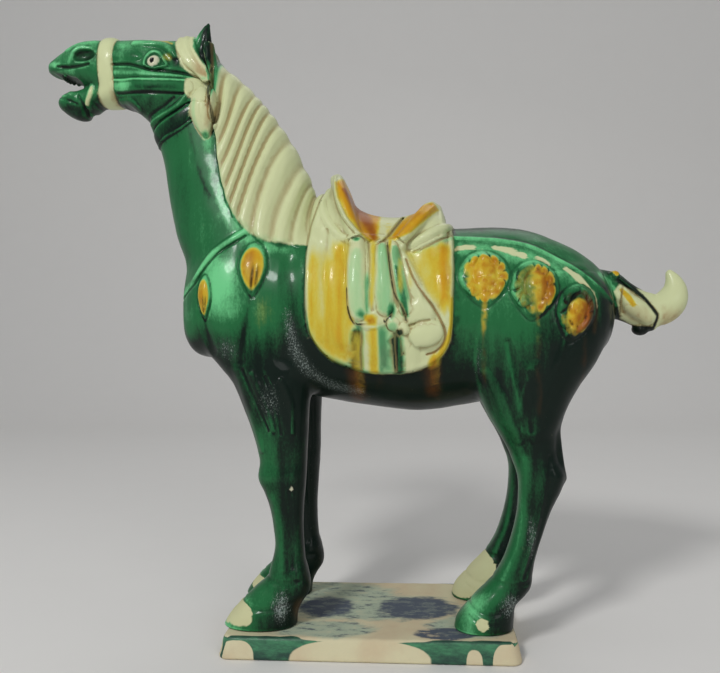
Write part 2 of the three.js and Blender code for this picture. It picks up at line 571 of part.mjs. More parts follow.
/** The closed geometry without its slivers: short edges are drawn together, shortest first. */
function thinned(geometry) {
  const flat = geometry.attributes.position.array;
  const point = Array.from({ length: flat.length / 3 },
    (_, i) => new THREE.Vector3().fromArray(flat, 3 * i));
  const faces = Array.from({ length: geometry.index.count / 3 }, (_, i) => [0, 1, 2]
    .map((k) => geometry.index.array[3 * i + k]));
  const around = point.map(() => new Set());
  faces.forEach((face, id) => face.forEach((v) => around[v].add(id)));
  const near = (v) => new Set([...around[v]].flatMap((id) => faces[id]).filter((w) => w !== v));
  const area = ([i, j, k]) => new THREE.Vector3().crossVectors(
    point[j].clone().sub(point[i]), point[k].clone().sub(point[i]));

  const mayDraw = (gone, kept) => {
    const shared = [...near(gone)].filter((v) => around[v].size && near(kept).has(v));
    if (shared.length !== 2) return false;
    const tiny = point[gone].distanceTo(point[kept]) < TINY;
    const step = point[kept].clone().sub(point[gone]);
    return [...around[gone]].filter((id) => !faces[id].includes(kept)).every((id) => {
      const before = area(faces[id]);
      const after = area(faces[id].map((v) => v === gone ? kept : v));
      if (tiny) return after.length() > 1e-7;
      const turn = before.clone().normalize();
      return after.length() > 0.02 && after.dot(turn) > 0.5 * after.length()
        && Math.abs(step.dot(turn)) < FLAT;
    });
  };
  const draw = (gone, kept) => {
    for (const id of around[gone]) {
      if (faces[id].includes(kept)) {
        faces[id].forEach((v) => v !== gone && around[v].delete(id));
        faces[id] = null;
      } else {
        faces[id] = faces[id].map((v) => v === gone ? kept : v);
        around[kept].add(id);
      }
    }
    around[gone].clear();
  };

  for (let changed = true; changed;) {
    changed = false;
    const edges = faces.filter(Boolean).flatMap((face) => face.map((v, k) => [v, face[(k + 1) % 3]]))
      .filter(([a, b]) => a < b).map(([a, b]) => [point[a].distanceTo(point[b]), a, b])
      .sort((one, two) => one[0] - two[0]);
    for (const [, a, b] of edges) {
      if (!around[a].size || !around[b].size || !near(a).has(b)) continue;
      const [gone, kept] = mayDraw(b, a) ? [b, a] : [a, b];
      if (gone === b || mayDraw(a, b)) {
        draw(gone, kept);
        changed = true;
      }
    }
  }
  const kept = [...new Set(faces.filter(Boolean).flat())];
  const place = new Map(kept.map((v, i) => [v, i]));
  return closedGeometry(kept.map((v) => point[v].toArray()),
    faces.filter(Boolean).map((face) => face.map((v) => place.get(v))));
}

const glaze = new THREE.MeshStandardMaterial({ color: 0x2d8255, roughness: 0.15, metalness: 0 });
const clay = new THREE.MeshStandardMaterial({ color: 0xd8c9a6, roughness: 0.8, metalness: 0 });

const figure = new THREE.Group();
const horse = new THREE.Mesh(thinned(geometryOf(horseSolid)), glaze);
horse.name = "horse";
const plinth = new THREE.Mesh(makePlinth(), clay);
plinth.name = "plinth";
figure.add(horse, plinth);

export default figure;
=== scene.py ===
"""A glazed earthenware horse with saddle and harness on its clay plinth, in a plain studio.

The horse is one casting, so it is modelled as one lump of clay: soft forms are pressed together,
carved and embossed, and the skin of the lump is then meshed and brushed with its glazes.
Sizes are millimetres until a mesh is made; the head points to -X and the left side faces -Y.
"""
import logging
import math
from abc import ABC, abstractmethod
from dataclasses import dataclass, field
from enum import Enum
from functools import cached_property
from typing import Any, Callable, Iterable, Sequence

import bpy
import numpy as np
from mathutils import Matrix, Vector


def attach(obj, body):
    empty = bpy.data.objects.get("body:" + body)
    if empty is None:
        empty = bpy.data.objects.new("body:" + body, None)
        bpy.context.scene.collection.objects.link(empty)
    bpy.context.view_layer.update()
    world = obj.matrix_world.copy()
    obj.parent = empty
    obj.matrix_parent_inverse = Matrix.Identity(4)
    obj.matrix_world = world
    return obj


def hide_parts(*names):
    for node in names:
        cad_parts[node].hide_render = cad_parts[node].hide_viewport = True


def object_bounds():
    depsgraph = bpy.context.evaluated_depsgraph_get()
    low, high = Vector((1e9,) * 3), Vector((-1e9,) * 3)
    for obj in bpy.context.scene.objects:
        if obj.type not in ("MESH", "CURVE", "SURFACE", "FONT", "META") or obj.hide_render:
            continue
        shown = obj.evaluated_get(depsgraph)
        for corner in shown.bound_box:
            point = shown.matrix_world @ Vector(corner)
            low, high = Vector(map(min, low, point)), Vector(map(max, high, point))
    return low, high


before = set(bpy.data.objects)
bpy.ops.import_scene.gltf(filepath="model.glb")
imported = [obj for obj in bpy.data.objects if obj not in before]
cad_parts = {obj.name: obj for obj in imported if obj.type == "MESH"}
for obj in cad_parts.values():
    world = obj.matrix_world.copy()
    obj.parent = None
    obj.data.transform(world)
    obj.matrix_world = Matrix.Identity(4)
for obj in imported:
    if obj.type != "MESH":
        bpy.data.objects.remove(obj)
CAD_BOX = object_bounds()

LOG = logging.getLogger("horse")
MM = 0.001  # a millimetre in metres
OUTSIDE = 1000.0  # a distance beyond every form
SOLE = 13.3  # height of the hooves' undersides, a film of slip above the plinth
SKIN_ZONE = 12.0  # how near the skin the clay's unevenness is worked out
LATTICE_SHIFT = 500.0  # keeps places positive on the noise lattices
SLIP_DEPTH = 6.0  # cream slip is kept as a depth inside its edge, up to this much
Array = np.ndarray
Point2 = tuple[float, float]
Point3 = tuple[float, float, float]
Point4 = tuple[float, float, float, float]
Colour = tuple[float, float, float, float]


def ramp(low: float, high: float, value: Array) -> Array:
    """A smooth step.

    Args:
        low: The value where the step starts, above or below high.
        high: The value where it ends.
        value: What is measured.

    Returns:
        0 before low, 1 past high and a smooth curve between.
    """
    t = np.clip((value - low) / (high - low), 0, 1)
    return t * t * (3 - 2 * t)


def soft_min(a: Array, b: Array, blend: float) -> Array:
    """The lesser of two distances, with the crease rounded.

    Args:
        a: The first distances.
        b: The second distances.
        blend: How far from the crease the rounding reaches.

    Returns:
        The joined distances.
    """
    h = np.clip(blend - np.abs(a - b), 0, None)
    return np.minimum(a, b) - h * h * (0.25 / max(blend, 1e-6))


def hermite(a: Array, b: Array, m: Array, n: Array, s: Array) -> Array:
    """The smooth curve from a to b with slopes m and n, at shares s of the way."""
    return (a * (2 * s**3 - 3 * s**2 + 1) + m * (s**3 - 2 * s**2 + s)
            + b * (3 * s**2 - 2 * s**3) + n * (s**3 - s**2))


def greatest(amounts: Sequence[Array]) -> Array:
    """The greatest of several amounts at each point."""
    return np.maximum.reduce(amounts)


def rounded(a: Array, b: Array, radius: float) -> Array:
    """Distances to a rounded edge, from the distances past the start of its rounding."""
    return (np.hypot(np.maximum(a, 0), np.maximum(b, 0)) + np.minimum(np.maximum(a, b), 0)
            - radius)


def fair(rows: Array, count: int, closed: bool = False) -> Array:
    """Points on the smooth curve through the given ones.

    Args:
        rows: The points, one a row.
        count: How many points to give for each span.
        closed: Whether the curve comes back to its start.

    Returns:
        The points along the curve.
    """
    rows = np.asarray(rows, float)
    before = np.roll(rows, 1, 0) if closed else np.vstack([2 * rows[0] - rows[1], rows[:-1]])
    after = np.roll(rows, -1, 0) if closed else np.vstack([rows[1:], 2 * rows[-1] - rows[-2]])
    slope = (after - before) / 2
    spans = len(rows) if closed else len(rows) - 1
    s = (np.arange(count) / count)[None, :, None]
    ends = (v[:spans, None] for v in (rows, np.roll(rows, -1, 0), slope, np.roll(slope, -1, 0)))
    curve = hermite(*ends, s).reshape(-1, rows.shape[1])
    return curve if closed else np.vstack([curve, rows[-1]])


class Along(Enum):
    """Which line in the mid plane a stack of sections follows: origin, axis and cross direction."""

    X = ((0.0, 0.0), (1.0, 0.0), (0.0, 1.0))
    Z = ((0.0, 0.0), (0.0, 1.0), (1.0, 0.0))
    NECK = ((-66.0, 215.0), (-0.42, 0.9075), (0.9075, 0.42))


class Form(ABC):
    """A solid form, given by the distance of any point to its skin."""

    far_lead: float = 0.0

    @property
    @abstractmethod
    def box(self) -> tuple[Array, Array]:
        """The form's lowest and highest corner."""

    @abstractmethod
    def distance(self, p: Array) -> Array:
        """Distances to the skin, below 0 inside.

        Args:
            p: Points with Y folded to one side.

        Returns:
            One distance a point.
        """


@dataclass(frozen=True)
class Stack(Form):
    """Oval sections along one line: rows of place, low side, high side and half width."""

    PROBE = 0.8
    LEAST_SLOPE = 0.7

    rows: tuple[Point4, ...]
    along: Along = Along.X
    power: float = 2.1
    taper: float = 0.0
    lean: tuple[Point2, Point2] | None = None

    @cached_property
    def table(self) -> Array:
        """The rows, filled in smoothly every half millimetre."""
        rows = np.array(self.rows, float)
        t = rows[:, 0]
        ahead = np.minimum(np.arange(len(t)) + 1, len(t) - 1)
        behind = np.maximum(np.arange(len(t)) - 1, 0)
        slope = (rows[ahead] - rows[behind]) / (t[ahead] - t[behind])[:, None]
        at = np.linspace(t[0], t[-1], int((t[-1] - t[0]) * 2) + 2)
        i = np.clip(np.searchsorted(t, at, side="right") - 1, 0, len(t) - 2)
        span = (t[i + 1] - t[i])[:, None]
        s = (at - t[i])[:, None] / span
        full = hermite(rows[i], rows[i + 1], slope[i] * span, slope[i + 1] * span, s)
        full[:, 0] = at
        return full

    @cached_property
    def box(self) -> tuple[Array, Array]:
        """The box of all sections."""
        origin, axis, cross = (np.array(v) for v in self.along.value)
        full = self.table
        ends = np.vstack([origin + full[:, :1] * axis + full[:, k:k + 1] * cross for k in (1, 2)])
        half = full[:, 3].max() * (1 + abs(self.taper))
        y = max(v[1] for v in self.lean) if self.lean else 0.0
        low, high = ends.min(0), ends.max(0)
        return np.array([low[0], y - half, low[1]]), np.array([high[0], y + half, high[1]])

    def _norm(self, t: Array, cross: Array, y: Array) -> tuple[Array, Array, Array, Array, Array]:
        """The section measure at t, 1 on the skin, with its parts and radii."""
        full = self.table
        at = (np.clip(t, full[0, 0], full[-1, 0]) - full[0, 0]) / (full[1, 0] - full[0, 0])
        i = np.clip(at.astype(np.int32), 0, len(full) - 2)
        part = (at - i)[:, None]
        row = (full[i] * (1 - part) + full[i + 1] * part).astype(np.float32)
        radius = (row[:, 2] - row[:, 1]) / 2
        s = (cross - (row[:, 2] + row[:, 1]) / 2) / radius
        if self.lean:
            (t0, y0), (t1, y1) = self.lean
            y = y - (y0 + (y1 - y0) * ramp(t0, t1, t))
        half = row[:, 3] * (1 + self.taper * np.clip(s, -1, 1))
        s, w = np.abs(s), np.abs(y) / half
        return (s**self.power + w**self.power) ** (1 / self.power), s, w, radius, half

    def distance(self, p: Array) -> Array:
        """Distances to the skin, estimated from the section measure's slope; the ends are flat."""
        origin, axis, cross = self.along.value
        dx, dz = p[:, 0] - origin[0], p[:, 2] - origin[1]
        t, c = dx * axis[0] + dz * axis[1], dx * cross[0] + dz * cross[1]
        q, s, w, radius, half = self._norm(t, c, p[:, 1])
        ahead = self._norm(t + self.PROBE, c, p[:, 1])[0]
        slope_t = (ahead - q) / self.PROBE / np.maximum(q, 1)
        bend = np.maximum(q, 1e-3) ** (1 - self.power)
        slope_s = s ** (self.power - 1) * bend / radius
        slope_w = w ** (self.power - 1) * bend / half
        least = self.LEAST_SLOPE / np.maximum(radius, half)
        d = (q - 1) / np.maximum(np.sqrt(slope_t**2 + slope_s**2 + slope_w**2), least)
        cap = np.maximum(self.table[0, 0] - t, t - self.table[-1, 0])
        return np.where(cap > 0, np.hypot(np.maximum(d, 0), cap), np.maximum(d, cap))


@dataclass(frozen=True)
class Rod(Form):
    """A round rod through points of X, Y, Z and radius; flat squeezes it along Y."""

    points: tuple[Point4, ...]
    flat: float = 1.0
    far_lead: float = 0.0
    steps: int = 4

    @cached_property
    def line(self) -> Array:
        """The rod's smooth centre line with its radii."""
        return fair(np.array(self.points), self.steps)

    @cached_property
    def box(self) -> tuple[Array, Array]:
        """The box of the line, grown by the radii."""
        line = self.line
        return (line[:, :3] - line[:, 3:]).min(0), (line[:, :3] + line[:, 3:]).max(0)

    def distance(self, p: Array) -> Array:
        """Distances to the nearest stretch of the rod."""
        squeeze = np.array([1, 1 / self.flat, 1], np.float32)
        p = p * squeeze
        line = self.line * np.append(squeeze, 1)
        best = np.full(len(p), OUTSIDE, np.float32)
        for a, b in zip(line[:-1], line[1:]):
            way = b[:3] - a[:3]
            h = np.clip((p - a[:3].astype(np.float32)) @ way.astype(np.float32)
                        / max(way @ way, 1e-9), 0, 1)
            gap = p - (a[:3] + h[:, None] * way).astype(np.float32)
            best = np.minimum(best, np.sqrt((gap * gap).sum(1)) - (a[3] + (b[3] - a[3]) * h))
        return best * min(1.0, (1 + self.flat) / 2)


@dataclass(frozen=True)
class Blob(Form):
    """An ellipsoid: middle, half sizes and its tilt in the side view."""

    middle: Point3
    half: Point3
    tilt: float = 0.0

    @cached_property
    def box(self) -> tuple[Array, Array]:
        """The middle, grown by the half sizes turned in the side view."""
        (rx, ry, rz), c, s = self.half, math.cos(self.tilt), math.sin(self.tilt)
        grow = np.array([math.hypot(rx * c, rz * s), ry, math.hypot(rx * s, rz * c)])
        return np.array(self.middle) - grow, np.array(self.middle) + grow

    def distance(self, p: Array) -> Array:
        """Distances to the ellipsoid."""
        q = p - np.array(self.middle, np.float32)
        c, s = math.cos(self.tilt), math.sin(self.tilt)
        turned = np.stack([q[:, 0] * c + q[:, 2] * s, q[:, 1], q[:, 2] * c - q[:, 0] * s], 1)
        unit = turned / np.array(self.half, np.float32)
        k0 = np.sqrt((unit * unit).sum(1))
        k1 = np.sqrt(((unit / np.array(self.half, np.float32)) ** 2).sum(1))
        return k0 * (k0 - 1) / np.maximum(k1, 1e-6)


@dataclass(frozen=True)
class Board(Form):
    """An arched board across the back, leaning from its foot line to its tip."""

    foot: Point2
    tip: Point2
    half: float
    thick: float
    droop: float = 14.0
    arch: float = 2.2
    rounding: float = 1.2
    margin: float = 6.0

    @cached_property
    def box(self) -> tuple[Array, Array]:
        """A box round the board."""
        (x0, x1), (z0, z1) = (sorted(pair) for pair in zip(self.foot, self.tip))
        return (np.array([x0 - self.margin, 0, z0 - self.droop]),
                np.array([x1 + self.margin, self.half, z1 + 1]))

    def distance(self, p: Array) -> Array:
        """Distances to the rounded board."""
        rise = math.dist(self.foot, self.tip)
        ux, uz = (self.tip[0] - self.foot[0]) / rise, (self.tip[1] - self.foot[1]) / rise
        dx, dz = p[:, 0] - self.foot[0], p[:, 2] - self.foot[1]
        up, out, y = dx * ux + dz * uz, dx * uz - dz * ux, np.abs(p[:, 1])
        q = np.sqrt((y / self.half) ** 2 + (np.maximum(up, 0) / rise) ** self.arch)
        flat = (q - 1) * np.where(up > 0, 0.62 * self.half, self.half)
        flat = np.maximum(flat, -up - self.droop)
        r = self.rounding
        return rounded(flat + r, np.abs(out) - self.thick / 2 + r, r)


@dataclass(frozen=True)
class Slot(Form):
    """An outline in the side view, cut from the sides down to its floor."""

    corners: tuple[Point2, ...]
    floor: float = -1.0
    depth: float = 60.0

    @cached_property
    def box(self) -> tuple[Array, Array]:
        """The outline's box, as deep as the slot."""
        c = np.array(self.corners)
        low, high = c.min(0), c.max(0)
        return np.array([low[0], self.floor, low[1]]), np.array([high[0], self.depth, high[1]])

    def distance(self, p: Array) -> Array:
        """Distances to the outline and the floor."""
        depth = inside_depth(p[:, 0], p[:, 2], np.array(self.corners))
        return np.maximum(-depth, self.floor - p[:, 1])


@dataclass(frozen=True)
class Below(Form):
    """Everything below a level, used to cut the soles flat."""

    LAYER = 9.0

    level: float

    @property
    def box(self) -> tuple[Array, Array]:
        """The layer just under the level, as wide as all space."""
        return (np.array([-OUTSIDE, -OUTSIDE, self.level - self.LAYER]),
                np.array([OUTSIDE, OUTSIDE, self.level]))

    def distance(self, p: Array) -> Array:
        """Height above the level."""
        return p[:, 2] - self.level


def to_stretch(x: Array, z: Array, a: Sequence[float], b: Sequence[float]) -> tuple[Array, Array]:
    """Each place's distance from the straight line from a to b, and how far along it that is."""
    wx, wz = b[0] - a[0], b[1] - a[1]
    h = np.clip(((x - a[0]) * wx + (z - a[1]) * wz) / max(wx * wx + wz * wz, 1e-9), 0, 1)
    return np.hypot(x - a[0] - h * wx, z - a[1] - h * wz), h


def inside_depth(x: Array, z: Array, outline: Array) -> Array:
    """How deep each side-view point lies inside an outline.

    Args:
        x: Places along the horse.
        z: Heights.
        outline: The outline's corners.

    Returns:
        Distances to the outline, above 0 inside.
    """
    best = np.full(len(x), OUTSIDE, np.float32)
    odd = np.zeros(len(x), bool)
    for (ax, az), (bx, bz) in zip(outline, np.roll(outline, -1, 0)):
        best = np.minimum(best, to_stretch(x, z, (ax, az), (bx, bz))[0])
        if az != bz:
            crosses = (az > z) != (bz > z)
            odd ^= crosses & (x < (bx - ax) * (z - az) / (bz - az) + ax)
    return np.where(odd, best, -best)


class Chart:
    """A function of the side view, worked out once on a fine grid and read back smoothly."""

    def __init__(self, low: Sequence[float], high: Sequence[float],
                 function: Callable[[Array, Array], Array], step: float = 0.5) -> None:
        """Works the function out.

        Args:
            low: Lowest X and Z.
            high: Highest X and Z.
            function: Gives one value for each X and Z.
            step: The grid's spacing.
        """
        self.low, self.step = np.array(low, float), step
        nx, nz = (int((b - a) / step) + 2 for a, b in zip(low, high))
        x, z = np.meshgrid(low[0] + step * np.arange(nx), low[1] + step * np.arange(nz),
            indexing="ij")
        self.values = function(x.ravel(), z.ravel()).reshape(nx, nz).astype(np.float32)

    def __call__(self, x: Array, z: Array) -> Array:
        """The value at each X and Z; past the grid, that of its edge."""
        n = np.array(self.values.shape) - 1
        u = np.clip((x - self.low[0]) / self.step, 0, n[0] - 1e-3)
        v = np.clip((z - self.low[1]) / self.step, 0, n[1] - 1e-3)
        i, j = u.astype(np.int32), v.astype(np.int32)
        a, b, f = u - i, v - j, self.values
        return ((f[i, j] * (1 - a) + f[i + 1, j] * a) * (1 - b)
                + (f[i, j + 1] * (1 - a) + f[i + 1, j + 1] * a) * b)


class Relief(ABC):
    """A low relief of the side view that raises or sinks the skin."""

    @property
    @abstractmethod
    def box(self) -> tuple[Array, Array]:
        """Lowest and highest X and Z that it reaches."""

    @abstractmethod
    def height(self, x: Array, z: Array) -> Array:
        """How far the skin rises at each X and Z."""


@dataclass(frozen=True)
class Patch(Relief):
    """A raised area with a soft rim inside its outline."""

    corners: tuple[Point2, ...]
    rise: float
    slope: float = 1.6
    rim: float = 0.0
    rim_width: float = 2.2

    @cached_property
    def outline(self) -> Array:
        """The outline's points, on a smooth curve through its corners."""
        return fair(np.array(self.corners), 5, closed=True)

    @cached_property
    def box(self) -> tuple[Array, Array]:
        """The outline's box."""
        return self.outline.min(0) - 1, self.outline.max(0) + 1

    @cached_property
    def chart(self) -> Chart:
        """The depth inside the outline."""
        low, high = self.box
        return Chart(low - 4, high + 4, lambda x, z: inside_depth(x, z, self.outline))

    def depth(self, x: Array, z: Array) -> Array:
        """How deep each place lies inside the outline."""
        return self.chart(x, z)

    def height(self, x: Array, z: Array) -> Array:
        """The rise, with the rim's extra."""
        depth = self.depth(x, z)
        lip = self.rim * np.exp(-((depth - self.slope - 0.4 * self.rim_width) / self.rim_width) ** 2)
        return ramp(-0.3, self.slope, depth) * (self.rise + lip)


@dataclass(frozen=True)
class Ridge(Relief):
    """A raised line, or a groove where its height is below 0: points of X, Z and half width."""

    points: tuple[Point3, ...]
    rise: float
    round: float = 1.0
    closed: bool = False

    @cached_property
    def line(self) -> Array:
        """The line's points."""
        return fair(np.array(self.points), 4, closed=self.closed)

    @cached_property
    def box(self) -> tuple[Array, Array]:
        """The line's box, grown by its width."""
        grow = self.line[:, 2:].max()
        return self.line[:, :2].min(0) - grow, self.line[:, :2].max(0) + grow

    def across(self, x: Array, z: Array) -> Array:
        """The distance from the line in half widths."""
        best = np.full(len(x), 9.0, np.float32)
        line = np.vstack([self.line, self.line[:1]]) if self.closed else self.line
        for a, b in zip(line[:-1], line[1:]):
            gap, h = to_stretch(x, z, a, b)
            best = np.minimum(best, gap / np.maximum(a[2] + (b[2] - a[2]) * h, 0.05))
        return best

    def height(self, x: Array, z: Array) -> Array:
        """A smooth bump across the line; round above 1 makes it fuller."""
        return self.rise * np.clip(1 - self.across(x, z) ** 2, 0, 1) ** (1.5 / self.round)


@dataclass(frozen=True)
class Dome(Relief):
    """A round swelling, or a hollow where its height is below 0."""

    middle: Point2
    half: Point2
    rise: float
    tilt: float = 0.0
    fall: float = 1.5

    @cached_property
    def box(self) -> tuple[Array, Array]:
        """A box round the swelling."""
        grow = max(self.half)
        return np.array(self.middle) - grow, np.array(self.middle) + grow

    def reach(self, x: Array, z: Array) -> Array:
        """Distance from the middle in half sizes."""
        c, s = math.cos(self.tilt), math.sin(self.tilt)
        dx, dz = x - self.middle[0], z - self.middle[1]
        return np.hypot((dx * c + dz * s) / self.half[0], (dz * c - dx * s) / self.half[1])

    def height(self, x: Array, z: Array) -> Array:
        """A smooth bump."""
        return self.rise * np.clip(1 - self.reach(x, z) ** 2, 0, 1) ** self.fall


class Act(Enum):
    """What a step does to the clay."""

    ADD = 1
    CUT = 2
    EMBOSS = 3


class Clay:
    """The lump: forms added, cut and embossed one after another."""

    HALO = 8.0
    WIDEST = 70.0
    SKIN_SAMPLES = 281

    def __init__(self) -> None:
        """Starts with nothing."""
        self.steps: list[tuple[Act, Any, float]] = []

    def add(self, *forms: Form, blend: float = 1.0) -> None:
        """Presses forms on, with joints rounded by blend."""
        self.steps += [(Act.ADD, form, blend) for form in forms]

    def cut(self, *forms: Form, blend: float = 0.6) -> None:
        """Carves forms out."""
        self.steps += [(Act.CUT, form, blend) for form in forms]

    def emboss(self, *reliefs: Relief) -> None:
        """Raises or sinks the skin by reliefs."""
        self.steps += [(Act.EMBOSS, relief, 0.0) for relief in reliefs]

    def distance(self, points: Array) -> Array:
        """Distances to the lump's skin.

        Args:
            points: One point a row.

        Returns:
            One distance a point, below 0 inside.
        """
        p = points.astype(np.float32)
        far = p[:, 1] > 0
        p = np.stack([p[:, 0], np.abs(p[:, 1]), p[:, 2]], 1)
        d = np.full(len(p), OUTSIDE, np.float32)
        for act, form, blend in self.steps:
            if act is Act.EMBOSS:
                low, high = form.box
                x, z = p[:, 0], p[:, 2]
                near = np.flatnonzero((x > low[0]) & (x < high[0]) & (z > low[1]) & (z < high[1]))
                if len(near):
                    d[near] -= form.height(x[near], z[near])
                continue
            low, high = form.box
            reach = blend + self.HALO
            near = np.flatnonzero(
                (p[:, 0] > low[0] - reach - form.far_lead) & (p[:, 0] < high[0] + reach)
                & (p[:, 1] < high[1] + reach) & (p[:, 1] > low[1] - reach)
                & (p[:, 2] > low[2] - reach) & (p[:, 2] < high[2] + reach))
            if not len(near):
                continue
            q = p[near]
            if form.far_lead:
                q[:, 0] += np.where(far[near], form.far_lead, 0)
            other = form.distance(q).astype(np.float32)
            if act is Act.ADD:
                d[near] = soft_min(d[near], other, blend)
            else:
                d[near] = -soft_min(-d[near], other, blend)
        return d

    def skin(self, x: float, z: float) -> float:
        """How far the skin lies from the mid plane at X, Z; 0 where there is none."""
        y = np.linspace(0, self.WIDEST, self.SKIN_SAMPLES)
        d = self.distance(np.stack([np.full_like(y, x), -y, np.full_like(y, z)], 1))
        inside = np.flatnonzero(d < 0)
        if not len(inside):
            return 0.0
        k = min(inside[-1], len(y) - 2)
        return float(y[k] + (y[1] - y[0]) * d[k] / min(d[k] - d[k + 1], -1e-6))

    def slope(self, points: Array, step: float = 0.4) -> Array:
        """The distance's gradient by central differences."""
        rises = [self.distance(points + s) - self.distance(points - s) for s in np.eye(3) * step]
        return np.stack(rises, 1) / (2 * step)


class Skin:
    """Meshes the skin of a lump on a fine grid."""

    CORNERS = np.array([(i, j, k) for i in (0, 1) for j in (0, 1) for k in (0, 1)])
    REACH = 1.45
    SLACK = 0.8

    def __init__(self, clay: Clay, low: Sequence[float], high: Sequence[float], cell: float) -> None:
        """Sets the grid.

        Args:
            clay: The lump.
            low: Lowest corner of the space it fills.
            high: Highest corner.
            cell: The finest grid spacing.
        """
        self.clay, self.cell = clay, cell
        self.low = np.array(low, float)
        self.count = (np.ceil((np.array(high) - self.low) / (4 * cell)).astype(int) + 1) * 4

    def _near_cells(self) -> Array:
        """The finest cells that the skin may cross, found from cells of 4 and then 2."""
        cells = np.argwhere(np.ones(self.count // 4, bool))
        for size in (4, 2):
            middle = self.low + (cells * size + size / 2) * self.cell
            reach = size * self.cell * self.REACH + self.SLACK
            keep = np.abs(self.clay.distance(middle)) < reach
            cells = (cells[keep][:, None] * 2 + self.CORNERS).reshape(-1, 3)
        return cells

    def mesh(self) -> tuple[Array, Array]:
        """The skin's points and its four-sided faces."""
        cells = self._near_cells()
        shape = tuple(self.count + 2)
        strides = np.array([shape[1] * shape[2], shape[2], 1])
        flat = cells @ strides
        corner_flat = flat[:, None] + self.CORNERS @ strides
        wanted = np.zeros(int(np.prod(shape)), bool)
        wanted[corner_flat.ravel()] = True
        nodes = np.flatnonzero(wanted)
        places = np.stack(np.unravel_index(nodes, shape), 1)
        values = np.full(len(wanted), OUTSIDE, np.float32)
        values[nodes] = self.clay.distance(self.low + places * self.cell)
        corner = values[corner_flat]
        filled = corner < 0
        mixed = filled.any(1) & ~filled.all(1)
        cells, flat, corner, filled = cells[mixed], flat[mixed], corner[mixed], filled[mixed]
        place, hits = np.zeros((len(cells), 3)), np.zeros(len(cells))
        for a in range(8):
            for b in range(a + 1, 8):
                way = self.CORNERS[b] - self.CORNERS[a]
                if np.abs(way).sum() != 1:
                    continue
                cross = filled[:, a] != filled[:, b]
                va, vb = corner[cross, a], corner[cross, b]
                place[cross] += self.CORNERS[a] + way * (va / (va - vb))[:, None]
                hits[cross] += 1
        points = self.low + (cells + place / hits[:, None]) * self.cell
        index = np.full(len(wanted), -1, np.int32)
        index[flat] = np.arange(len(cells))
        faces = []
        for axis, (u, v) in enumerate(((1, 2), (2, 0), (0, 1))):
            tip = (4, 2, 1)[axis]
            for inside in (True, False):
                here = flat[(filled[:, 0] == inside) & (filled[:, tip] != inside)]
                ring = [here - strides[u] - strides[v], here - strides[v], here,
                        here - strides[u]]
                quad = index[np.stack(ring if inside else ring[::-1], 1)]
                faces.append(quad[(quad >= 0).all(1)])
        return points, np.concatenate(faces)


def settled(clay: Clay, points: Array, rounds: int = 2) -> Array:
    """Points moved onto the lump's skin."""
    for _ in range(rounds):
        slope = clay.slope(points)
        size = np.maximum((slope * slope).sum(1), 0.25)
        shift = slope * (clay.distance(points) / size)[:, None]
        length = np.linalg.norm(shift, axis=1, keepdims=True)
        points = points - shift * np.minimum(1, 0.5 / np.maximum(length, 1e-9))
    return points


class Dose(Enum):
    """What the brush leaves on the skin, each an attribute of the mesh."""

    CREAM = "brush_cream"
    AMBER = "brush_amber"
    RUST = "brush_rust"
    WASH = "brush_wash"
    # paler or darker green glaze, which also carries painted shade and painted light
    LIGHT = "brush_light"
    # dark lines of glaze, and painted shade in the nostril and the mouth
    LINE = "brush_line"
    POOL = "brush_pool"
    GREY = "brush_grey"
    BARE = "brush_bare"
    WHITE = "brush_white"
    BLACK = "brush_black"


